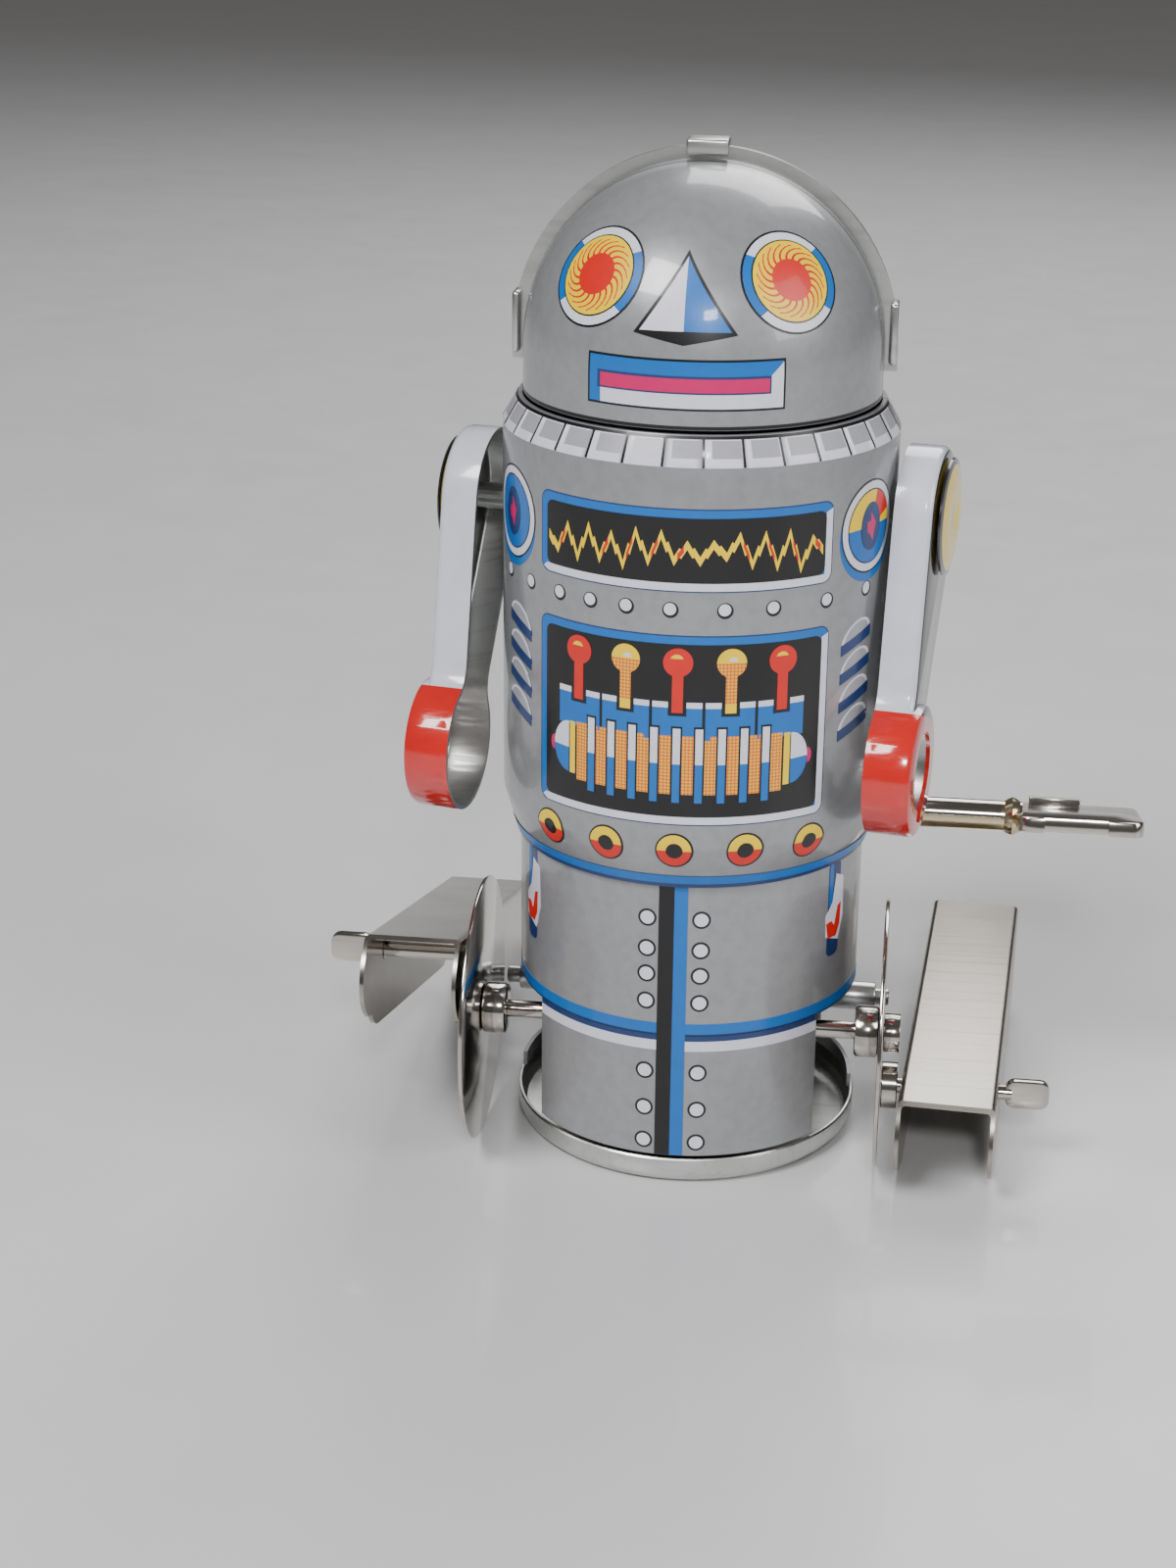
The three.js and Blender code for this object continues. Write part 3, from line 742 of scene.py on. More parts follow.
    def _rear_head(self) -> None:
        """The bare rear half of the head, its flange, and the tabs that hold the two together."""
        r = self.head_radius
        shell = self._half("rear_head_shell", self._dome(r, r - self.wall, self.head_bottom), 1)
        ring = self._dome(self.flange_radius, r - 0.2, self.head_bottom + 2.2)
        band = self._half("band", ring, 1)
        near, far = self.flange
        Bench.combine(band, Bench.slab("crop", (-40, near, 60), (40, far, 120)), "INTERSECT")
        low, high = node_box("head_rear")
        half, front, back = self.tab_half, low.y + 0.02, self.tab_back
        crown = Bench.slab("crown", (-half, front, self.head_centre + r + 0.35),
                           (half, back, high.z - 0.02), 0.25)
        Bench.weld(shell, band, crown)
        for side in (-1, 1):
            ends = sorted((side * (r + 0.35), side * (abs(high.x) - 0.08)))
            ear = Bench.slab("ear", (ends[0], front, self.ear[0]), (ends[1], back, self.ear[1]), 0.3)
            Bench.weld(shell, ear)
        self.keeper.keep(shell, TIN, "body", "tinplate", "head_rear")

    def torso_place(self, u: float, z: float, lift: float) -> Vector:
        """Where a print point lies on the torso."""
        (z0, z1), (z2, z3) = self.hem, self.shoulder
        r = self.torso_radius
        if z < z1:
            r -= (r - self.hem_radius) * (z1 - z) / (z1 - z0)
        elif z > z2:
            r -= (r - self.collar_radius) * (z - z2) / (z3 - z2)
        return self._round(u / self.torso_radius, r + lift, z)

    def hips_place(self, u: float, z: float, lift: float) -> Vector:
        """Where a print point lies on the hips."""
        return self._round(u / self.hips_radius, self.hips_radius + lift, z)

    def face_place(self, u: float, z: float, lift: float) -> Vector:
        """Where a print point lies on the face, by azimuth and height."""
        above = max(0.0, z - self.head_centre)
        full = self.head_radius + lift
        r = math.sqrt(max(full**2 - above**2, 0))
        return self._round(u / self.head_radius, r, z)

    def eye_place(self, azimuth: float, height: float) -> Callable[[float, float, float], Vector]:
        """A wrap that lays a flat drawing on the dome about one spot.

        Args:
            azimuth: Where the spot is, in degrees.
            height: Its height above the table.

        Returns:
            The wrap function.
        """
        tilt = math.asin((height - self.head_centre) / self.head_radius)
        turn = Matrix.Rotation(math.radians(azimuth), 3, "Z") @ Matrix.Rotation(-tilt, 3, "X")

        def place(u: float, v: float, lift: float) -> Vector:
            """The dome point at u across and v up from the spot."""
            full = self.head_radius + lift
            a, b = u / self.head_radius, v / self.head_radius
            out = Vector((math.sin(a) * math.cos(b), -math.cos(a) * math.cos(b), math.sin(b)))
            return Vector((0, 0, self.head_centre)) + turn @ out * full

        return place

    @staticmethod
    def _round(turn: float, radius: float, z: float) -> Vector:
        """A point at an angle in radians from straight ahead."""
        return Vector((radius * math.sin(turn), -radius * math.cos(turn), z))


# ---- litho print ----------------------------------------------------------------------------
@dataclass
class FacePrint:
    """Eyes, nose and mouth."""

    shells: Shells
    keeper: Keeper
    eye_azimuth: float = 36.0
    eye_height: float = 86.1
    eye_radius: float = 4.75
    swirl_lines: int = 20
    mouth: tuple[float, float, float, float] = (-9.3, 8.8, 75.4, 79.85)
    nose_top: Point2 = (-0.4, 88.1)
    nose_left: Point2 = (-4.55, 82.0)
    nose_right: Point2 = (4.0, 82.0)
    nose_foot: Point2 = (-0.4, 81.0)

    def build(self) -> None:
        """Prints the face."""
        cuts = tuple(self.shells.head_centre + 0.8 * i for i in range(14))
        sheet = PrintSheet("face_print", "body", self.shells.face_place, cuts)
        self._mouth(sheet)
        self._nose(sheet)
        edge = self.shells.head_radius * math.radians(88)
        sheet.lay(Ink.BLACK, 1, oblong(-edge, edge, 73.75, 74.05))
        sheet.print_on(self.keeper)
        for side, name in ((-1, "left"), (1, "right")):
            self._eye(side, name)

    def _mouth(self, sheet: PrintSheet) -> None:
        """A bevelled slot with a magenta bar."""
        u0, u1, v0, v1 = self.mouth
        line, frame_wide, frame_tall = 0.2, 1.15, 1.45
        sheet.lay(Ink.BLACK, 0, oblong(u0, u1, v0, v1))
        sheet.lay(Ink.BLUE, 1, oblong(u0 + line, u1 - line, v0 + line, v1 - line))
        right = u1 - line
        sheet.lay(Ink.WHITE, 2, [
            (u0 + frame_wide + line, v0 + line), (right, v0 + line), (right, v1 - line - 0.1),
            (right - frame_wide, v1 - frame_tall), (right - frame_wide, v0 + frame_tall),
            (u0 + frame_wide + line, v0 + frame_tall)])
        slot = (u0 + frame_wide - 0.1, right - frame_wide, v0 + frame_tall, v1 - frame_tall)
        sheet.lay(Ink.NAVY, 3, oblong(*slot))
        bar = (slot[0] + 0.3, slot[1] - 0.15, slot[2] + 0.15, slot[3] - 0.2)
        sheet.lay(Ink.MAGENTA, 4, oblong(*bar))

    def _nose(self, sheet: PrintSheet) -> None:
        """A pyramid: white on the left, blue on the right, black below."""
        top, left, right, foot = self.nose_top, self.nose_left, self.nose_right, self.nose_foot
        rim_wide, rim_low, inset, rise = 0.45, 0.112, 0.1, 0.12
        middle = (foot[0], left[1] + 0.05 + rise)
        sheet.lay(Ink.BLACK, 0, [(top[0], top[1] + 0.5), (left[0] - rim_wide, left[1] - rim_low),
                                 foot, (right[0] + rim_wide, right[1] - rim_low)])
        sheet.lay(Ink.WHITE, 1, [top, (left[0] + inset, left[1] + rise), middle])
        sheet.lay(Ink.BLUE, 1, [top, middle, (right[0] - inset, right[1] + rise)])

    def _eye(self, side: int, name: str) -> None:
        """One eye: ringed yellow disc with swirling red lines about a red centre."""
        place = self.shells.eye_place(side * self.eye_azimuth, self.eye_height)
        cuts = tuple(float(v) for v in range(-4, 5))
        sheet = PrintSheet(f"{name}_eye_print", "body", place, cuts)
        r = self.eye_radius
        inside, iris, pupil = r - 0.2, 0.77 * r, 0.40 * r
        sheet.lay(Ink.BLACK, 0, round_dot(0, 0, r, 48))
        sheet.lay(Ink.WHITE, 1, round_dot(0, 0, inside, 48))
        for start in (-38, 142):
            ring = arc(0, 0, inside, start, start + 76, 14)
            ring += reversed(arc(0, 0, iris, start - 2, start + 78, 14))
            sheet.lay(Ink.BLUE, 2, ring)
        sheet.lay(Ink.BLACK, 3, round_dot(0, 0, iris + 0.13, 40))
        sheet.lay(Ink.YELLOW, 4, round_dot(0, 0, iris, 40))
        for i in range(self.swirl_lines):
            sheet.lay(Ink.RED, 5, self._swirl(360 * i / self.swirl_lines, pupil, iris - 0.35))
        sheet.lay(Ink.RED, 5, round_dot(0, 0, pupil, 32))
        sheet.print_on(self.keeper)

    @staticmethod
    def _swirl(turn: float, inner: float, outer: float) -> Outline:
        """A thin curved line that bends as it runs outwards."""
        steps, bend, thick = 5, 34, 0.11
        shares = [i / steps for i in range(steps + 1)]
        spine = [(inner + (outer - inner) * share, math.radians(turn - bend * share**1.8))
                 for share in shares]
        near = [(r * math.cos(a - thick / r), r * math.sin(a - thick / r)) for r, a in spine]
        far = [(r * math.cos(a + thick / r), r * math.sin(a + thick / r)) for r, a in spine]
        return near + far[::-1]


@dataclass
class TorsoPrint:
    """Shoulder blocks, screen, control panel, dials, louvres, rivets, buttons and waist line."""

    shells: Shells
    keeper: Keeper
    panel_half: float = 44.6
    screen: Point2 = (59.8, 67.1)
    controls: Point2 = (37.8, 55.6)
    frame: float = 0.72
    blocks: int = 32
    trace: tuple[float, ...] = (
        63.3, 62.1, 64.5, 61.7, 64.8, 62.0, 64.4, 61.7, 65.0, 62.3, 64.9, 62.5,
        64.0, 62.5, 64.1, 62.9, 64.8, 62.1, 64.8, 61.8, 64.8, 61.4, 64.0, 62.8)
    rivets: tuple[float, ...] = (-64.5, -50.5, -37.4, -26.4, -15.2, -2.6, 12.5, 26.3, 43.6, 60.6)
    rivet_height: float = 58.1
    waist: tuple[float, float, float] = (31.05, 31.45, 32.3)  # foot, colour change and top
    button_pitch: float = 20.5
    button_height: float = 35.1
    dial_azimuth: float = 61.5
    dial_height: float = 63.8
    dial_radius: float = 4.3

    def across(self, azimuth: float) -> float:
        """Distance round the torso of an azimuth."""
        return math.radians(azimuth) * self.shells.torso_radius

    def build(self) -> None:
        """Prints the torso."""
        heights = (self.shells.hem[1], *self.shells.shoulder)
        sheet = PrintSheet("torso_print", "body", self.shells.torso_place, heights)
        for low, high in (self.screen, self.controls):
            self._panel(sheet, low, high)
        self._trace(sheet)
        self._levers(sheet)
        self._coil(sheet)
        for azimuth in self.rivets:
            self._rivet(sheet, self.across(azimuth), self.rivet_height)
        for i in range(-2, 3):
            self._button(sheet, self.across(self.button_pitch * i), self.button_height)
        for side in (-1, 1):
            self._dial(sheet, side)
            self._louvres(sheet, side)
        self._shoulder_blocks(sheet)
        reach = self.across(89)
        foot, change, top = self.waist
        sheet.lay(Ink.NAVY, 0, oblong(-reach, reach, foot, top))
        sheet.lay(Ink.BLUE, 1, oblong(-reach, reach, change, top))
        sheet.print_on(self.keeper)

    def _panel(self, sheet: PrintSheet, low: float, high: float) -> None:
        """A black window in a frame, blue above and left, white below and right."""
        u, f = self.across(self.panel_half), self.frame
        sheet.lay(Ink.NAVY, 0, rounded(-u - 0.12, u + 0.12, low - 0.12, high + 0.12, 1.0))
        sheet.lay(Ink.BLUE, 1, rounded(-u, u, low, high, 0.9))
        corner = 0.9
        lower = arc(u - corner, low + corner, corner, -90, 0, 5)
        sheet.lay(Ink.WHITE, 2, [(-u + 0.25, low + 0.35), (-u + corner, low), *lower,
                                 (u, high - 0.6), (u - f, high - f - 0.2), (u - f, low + f),
                                 (-u + f, low + f)])
        sheet.lay(Ink.BLACK, 3, rounded(-u + f, u - f, low + f, high - f, 0.7))

    def _trace(self, sheet: PrintSheet) -> None:
        """The jagged yellow signal with its red accents."""
        reach = self.panel_half - 3.2
        count = len(self.trace)
        points = []
        for i, height in enumerate(self.trace):
            azimuth = reach * (2 * i / (count - 1) - 1)
            points.append((self.across(azimuth), height))
        jagged = []
        for (u0, v0), (u1, v1) in zip(points, points[1:]):
            jagged += [(u0, v0), (u0 + 0.4 * (u1 - u0), v0 + 0.52 * (v1 - v0)),
                       (u0 + 0.55 * (u1 - u0), v0 + 0.44 * (v1 - v0))]
        sheet.lay(Ink.YELLOW, 4, ribbon(jagged + [points[-1]], 0.42))
        for i in (1, 5, 7, 9, 11, 16, 18, 20, 22):
            (u0, v0), (u1, v1) = points[i:i + 2]
            spot = [(u0 + s * (u1 - u0), v0 + s * (v1 - v0)) for s in (0.25, 0.75)]
            sheet.lay(Ink.RED, 5, ribbon(spot, 0.3))

    def _levers(self, sheet: PrintSheet) -> None:
        """Five slotted blue blocks with ball-topped levers."""
        pitch, ball, ball_height = 14.9, 1.34, 53.2
        stem, stem_low, stem_high = 0.5, 48.5, 52.2
        low, high = 45.9, 49.5
        for i in range(-2, 3):
            u = self.across(pitch * i)
            half = self.across(pitch / 2) - 0.14
            sheet.lay(Ink.BLUE, 4, oblong(u - half, u + half, low, high))
            sheet.lay(Ink.WHITE, 5, oblong(u - half, u + half, high - 0.55, high))
            sheet.lay(Ink.BLACK, 6, oblong(u - stem - 0.32, u + stem + 0.32, 48.2, high + 0.02))
            red = i % 2 == 0
            tone = Ink.RED if red else Ink.ORANGE
            sheet.lay(tone, 7, oblong(u - stem, u + stem, stem_low, stem_high))
            sheet.lay(tone, 7, round_dot(u, ball_height, ball))
            if red:
                sheet.lay(Ink.YELLOW, 8, arc(u - 0.1, 53.35, 0.62, 20, 160, 8))
            else:
                sheet.lay(Ink.YELLOW, 8, arc(u, ball_height, ball, 0, 180, 14))
                sheet.lay(Ink.WHITE, 9, arc(u + 0.15, 53.35, 0.4, 0, 180, 8))
                sheet.lay(Ink.YELLOW, 8, oblong(u - stem, u + stem, stem_low, 49.4))

    def _coil(self, sheet: PrintSheet) -> None:
        """The ribbed capsule with white and blue ends and magenta tips."""
        pitch, bars = 6.35, 9
        low, high, middle = 40.7, 46.3, 43.6
        rib, core = 0.5, 0.34
        for i in range(bars):
            u = self.across(pitch * (i - (bars - 1) / 2))
            sheet.lay(Ink.BLACK, 5, oblong(u - rib, u + rib, 39.7, 47.2))
            sheet.lay(Ink.BLUE, 6, oblong(u - core, u + core, 39.9, middle))
            sheet.lay(Ink.WHITE, 6, oblong(u - core, u + core, middle, 47.0))
        for i in range(bars + 1):
            u = self.across(pitch * (i - bars / 2))
            sheet.lay(Ink.ORANGE, 4, oblong(u - 0.56, u + 0.56, low, high))
        for side in (-1, 1):
            ring = self.across(31.9) * side
            sheet.lay(Ink.YELLOW, 4, oblong(ring - 0.3, ring + 0.3, 41.2, high - 0.1))
            cap = self.across(33.2) * side
            start = 90 if side < 0 else -90
            end = narrowed(arc(cap, middle + 0.1, 2.45, start, start + 180, 18), cap, 0.72)
            sheet.lay(Ink.BLUE, 4, end)
            upper, corner = [p for p in end if p[1] >= middle - 0.01], [(cap, middle)]
            sheet.lay(Ink.WHITE, 5, upper + corner if side > 0 else corner + upper)
            tip = cap + side * 1.78
            nib = arc(tip, middle + 0.1, 0.75, start, start + 180, 8)
            sheet.lay(Ink.MAGENTA, 4, narrowed(nib, tip, 0.6))

    def _rivet(self, sheet: PrintSheet, u: float, v: float) -> None:
        """A white dot in a black ring, heavier below."""
        sheet.lay(Ink.BLACK, 0, round_dot(u + 0.04, v - 0.08, 0.74, 20))
        sheet.lay(Ink.WHITE, 1, round_dot(u, v, 0.56, 20))

    def _button(self, sheet: PrintSheet, u: float, v: float) -> None:
        """A ring, yellow above and red below, about a black centre."""
        sheet.lay(Ink.BLACK, 0, round_dot(u, v, 1.78))
        sheet.lay(Ink.RED, 1, round_dot(u - 0.03, v - 0.02, 1.6))
        sheet.lay(Ink.YELLOW, 2, arc(u - 0.03, v, 1.6, 0, 180, 16))
        sheet.lay(Ink.BLACK, 3, round_dot(u, v, 0.78))

    def _dial(self, sheet: PrintSheet, side: int) -> None:
        """A round gauge beside the screen."""
        u, v, r = self.across(side * self.dial_azimuth), self.dial_height, self.dial_radius
        sheet.lay(Ink.BLUE, 0, round_dot(u - 0.1, v - 0.75, r + 0.02, 40))
        sheet.lay(Ink.BLACK, 1, round_dot(u, v, r, 40))
        sheet.lay(Ink.WHITE, 2, round_dot(u, v, r - 0.18, 40))
        sheet.lay(Ink.BLACK, 3, round_dot(u, v, 0.80 * r, 40))
        ring = 0.77 * r
        sheet.lay(Ink.BLUE, 4, round_dot(u, v, ring, 40))
        if side > 0:
            sheet.lay(Ink.YELLOW, 5, [(u, v), *arc(u, v, ring, 75, 180, 12)])
            sheet.lay(Ink.RED, 5, [(u, v), *arc(u, v, ring, 18, 75, 8)])
            sheet.lay(Ink.YELLOW, 6, [(u, v), *arc(u, v, ring, 0, 18, 4)])
        sheet.lay(Ink.NAVY, 7, narrowed(round_dot(u, v, 0.52 * r), u, 0.72))
        sheet.lay(Ink.MAGENTA, 8, [(u - 0.7, v + 0.4), (u - 0.1, v + 0.5), (u - 0.1, v + 1.3),
                                   (u + 0.8, v + 0.2), (u + 0.5, v - 0.5), (u + 0.3, v - 1.4),
                                   (u - 0.2, v - 0.7), (u - 0.6, v - 0.5)])

    def _louvres(self, sheet: PrintSheet, side: int) -> None:
        """Four half-round louvres, each with a dark lower lip."""
        u = self.across(side * 57.0)
        top, pitch, radius, slope, squash = 53.6, 2.72, 2.2, 0.36, 0.75
        for i in range(4):
            v = top - pitch * i
            hood, mouth = ([(a, v + (b + (a - u) * side * slope - v) * squash) for a, b in bow]
                           for bow in (arc(u, v, radius, 0, 180, 14),
                                       arc(u, v + 0.1, 1.85, 0, 180, 14)))
            sheet.lay(Ink.NAVY, 0, [(a + 0.12, b - 0.12) for a, b in hood])
            sheet.lay(Ink.WHITE, 1, hood)
            sheet.lay(Ink.GREY, 2, mouth)
            lip = [(u + s, v + s * side * slope * squash) for s in (-radius, radius)]
            sheet.lay(Ink.NAVY, 3, [(a, b - 0.75) for a, b in lip]
                      + [(a, b + 0.3) for a, b in reversed(lip)])

    def _shoulder_blocks(self, sheet: PrintSheet) -> None:
        """The ring of bevelled blocks on the shoulder."""
        low, high = 70.85, self.shells.shoulder[1] - 0.05
        pitch = 360 / self.blocks
        for i in range(-7, 8):
            u0 = self.across(pitch * (i - 0.5))
            u1 = self.across(pitch * (i + 0.5))
            sheet.lay(Ink.WHITE, 0, oblong(u0, u1, low, high - 0.2))
            sheet.lay(Ink.GREY, 1, oblong(u0 + 0.75, u1 - 0.2, low + 0.75, high - 0.35))
            sheet.lay(Ink.BLACK, 2, oblong(u1 - 0.11, u1 + 0.11, low + 0.05, high))
        reach, wide = self.across(pitch * 7.5), self.across(88.5)
        sheet.lay(Ink.BLACK, 2, oblong(-wide, wide, high - 0.25, high))
        sheet.lay(Ink.BLACK, 2, oblong(-reach - 0.11, -reach + 0.11, low + 0.05, high))


@dataclass
class HipsPrint:
    """Seam strip, waist band and rivets of the lower tube."""

    shells: Shells
    keeper: Keeper
    rivet_heights: tuple[float, ...] = (27.6, 24.5, 21.9, 19.1, 11.8, 7.9, 4.4)
    rivet_azimuth: float = 8.7
    strip: tuple[float, float, float] = (-1.45, 0.0, 1.25)  # left edge, colour change, right edge
    strip_top: float = 31.4

    def build(self) -> None:
        """Prints the hips."""
        sheet = PrintSheet("hips_print", "body", self.shells.hips_place)
        radius = self.shells.hips_radius
        apron = math.radians(self.shells.apron) * radius - 0.1
        wide = math.radians(88.5) * radius
        sheet.lay(Ink.WHITE, 0, oblong(-apron, apron, 14.05, 15.2))
        sheet.lay(Ink.NAVY, 1, oblong(-apron, apron, 15.1, 15.75), oblong(-wide, wide, 15.65, 16.0))
        sheet.lay(Ink.BLUE, 2, oblong(-wide, wide, 15.85, 16.9))
        low = self.shells.hips_bottom + 0.05
        left, change, right = self.strip
        sheet.lay(Ink.BLACK, 3, oblong(left, change, low, self.strip_top))
        sheet.lay(Ink.BLUE, 3, oblong(change, right, low, self.strip_top))
        for side in (-1, 1):
            u = side * math.radians(self.rivet_azimuth) * radius
            for v in self.rivet_heights:
                sheet.lay(Ink.BLACK, 0, round_dot(u, v, 0.88, 22))
                sheet.lay(Ink.WHITE, 1, round_dot(u, v, 0.66, 22))
            self._mark(sheet, side)
        sheet.print_on(self.keeper)

    def _mark(self, sheet: PrintSheet, side: int) -> None:
        """The catch painted at each side below the waist."""
        u = side * math.radians(60) * self.shells.hips_radius
        sheet.lay(Ink.NAVY, 0, rounded(u - 1.0, u + 1.0, 21.2, 31.0, 0.7))
        sheet.lay(Ink.BLUE, 1, oblong(u - 0.9, u - 0.3, 26.5, 30.9))
        sheet.lay(Ink.WHITE, 2, [(u + 0.2, 29.6), (u + 1.5, 29.0), (u + 1.7, 25.0), (u + 0.9, 22.6),
                                 (u - 1.2, 23.4), (u - 1.3, 25.6), (u - 0.3, 26.8)])
        sheet.lay(Ink.RED, 3, [(u - 1.25, 24.8), (u - 0.4, 24.9), (u + 0.1, 24.3), (u + 0.6, 26.2),
                               (u + 1.2, 26.4), (u + 1.1, 24.2), (u + 0.5, 23.1), (u - 0.9, 23.2)])


# ---- arms -----------------------------------------------------------------------------------
@dataclass
class Arm:
    """A pressed tray with a hand, hung on a shoulder rivet."""

    keeper: Keeper
    name: str
    side: int
    pivot: Vector
    skew: float
    swing: float = 22.0
    shoulder: float = 6.5
    neck: float = 3.6
    neck_at: float = 15.5
    hand: float = 6.2
    reach: float = 23.6
    depth: float = 3.6
    hand_depth: float = 4.4
    claw: float = 3.7
    sheet: float = 0.4
    paint_line: float = -18.6
    rivet_hole: float = 1.6
    cap_gap: float = 0.3

    def _outline(self, inset: float, x: float) -> list[tuple[float, float, float]]:
        """Outline of the tray about its pivot, shrunk by `inset`."""
        top, hand, neck = self.shoulder - inset, self.hand - inset, self.neck - inset
        taper = math.asin((top - neck) / self.neck_at)
        turn = math.degrees(taper)
        upper = arc(0, 0, top, -turn, 180 + turn, 30)
        lower = arc(0, -self.reach, hand, 135, 405, 30)
        wrist = (neck * math.cos(taper), -self.neck_at - neck * math.sin(taper))
        above = (wrist[0] - 1.2 * math.sin(taper), wrist[1] - 1.2 * math.cos(taper))
        knuckle = lower[-1]
        below = (knuckle[0] - 0.8, knuckle[1] + 0.8)
        right = curve(knuckle, below, above, wrist, 8)
        left = [(-y, z) for y, z in reversed(right)]
        return [(x, y, z) for y, z in upper + left + lower[1:-1] + right]

    def _body(self, inset: float, back: float, name: str) -> bpy.types.Object:
        """The tray or its hollow, with its outer edge rounded over."""
        base = -back
        shaft = Bench.extrude(Bench.polygon(name, self._outline(inset, base)),
                              (self.depth - inset - base, 0, 0))
        face = self.depth - inset
        width = 0.75 - inset
        Bench.bevel(shaft, lambda a, b: a.x > face - 0.01 and b.x > face - 0.01, width)
        hand = Bench.rod("hand", self.hand - inset, base, self.hand_depth - inset,
                         (0, -self.reach), 0.12 if back else 0.6, 64)
        if not back:
            keep = Bench.slab("keep", (0, -20, -60), (20, 20, 20))
            Bench.combine(hand, keep, "INTERSECT")
        return Bench.weld(shaft, hand)

    def build(self) -> None:
        """Makes the arm and its cap."""
        tray = self._body(0, 0, f"{self.name}_arm_tray")
        hollow = self._body(self.sheet, 1, "hollow")
        for piece in (tray, hollow):
            for finish in (WHITE_ENAMEL, RED_ENAMEL, BLACK_ENAMEL, TIN):
                piece.data.materials.append(finish.material())
        for face in hollow.data.polygons:
            face.material_index = 3
        Bench.cut(tray, hollow)
        Bench.cut(tray, Bench.rod("drill", self.rivet_hole, -1, self.depth + 2),
                  Bench.rod("claw", self.claw, -1, self.hand_depth + 2, (0, -self.reach), 0.1, 64),
                  Bench.slab("notch", (self.depth - self.sheet, 0, -self.reach - self.claw - 1),
                             (self.hand_depth + 1, 2, -self.reach)))
        Bench.work_on(tray)
        bpy.ops.mesh.bisect(plane_co=(0, 0, self.paint_line), plane_no=(0, 0, 1))
        Bench.close()
        self._paint(tray)
        self._keep(tray, None, f"{self.name}_arm", "enamel_white", f"{self.name}_arm")
        self._cap()

    def _turn(self) -> Matrix:
        """Where the arm hangs."""
        return Matrix.Translation(self.pivot) @ Matrix.Rotation(self.skew, 4, "Z")

    def _keep(self, piece: bpy.types.Object, finish: Finish | None, body: str, slot: str,
              node: str) -> None:
        """Hangs a piece in place, the arm itself swung forward."""
        if self.side < 0:
            Bench.mirror(piece)
        turn = self._turn()
        if body != "body":
            turn = turn @ Matrix.Rotation(-math.radians(self.swing), 4, "X")
        self.keeper.keep(piece, finish, body, slot, node, turn=turn)

    def _paint(self, tray: bpy.types.Object) -> None:
        """Paints the outside: white wall, red hand, black face. Hollow and rim stay bare."""
        for face in tray.data.polygons:
            if face.material_index == 3 or face.normal.x < -0.5:
                face.material_index = 3
            elif face.center.z < self.paint_line:
                face.material_index = 1
            else:
                face.material_index = 2 if face.normal.x > 0.9 else 0

    def _cap(self) -> None:
        """The domed yellow disc over the rivet, with a dark rim."""
        base = self.depth + self.cap_gap
        profile = [(0, base), (5.3, base), (5.5, base + 0.1), (5.45, base + 0.28),
                   (4.9, base + 0.42), (4.0, base + 0.56), (3.0, base + 0.67), (1.4, base + 0.68),
                   (1.2, base + 0.6), (0, base + 0.6)]
        cap = Bench.turned(f"{self.name}_cap_disc", profile, 96)
        cap.data.materials.append(YELLOW_ENAMEL.material())
        cap.data.materials.append(BLACK_ENAMEL.material())
        for face in cap.data.polygons:
            face.material_index = int(Vector(face.center.yz).length > 4.9)
        self._keep(cap, None, "body", "enamel_yellow", f"{self.name}_shoulder_cap")


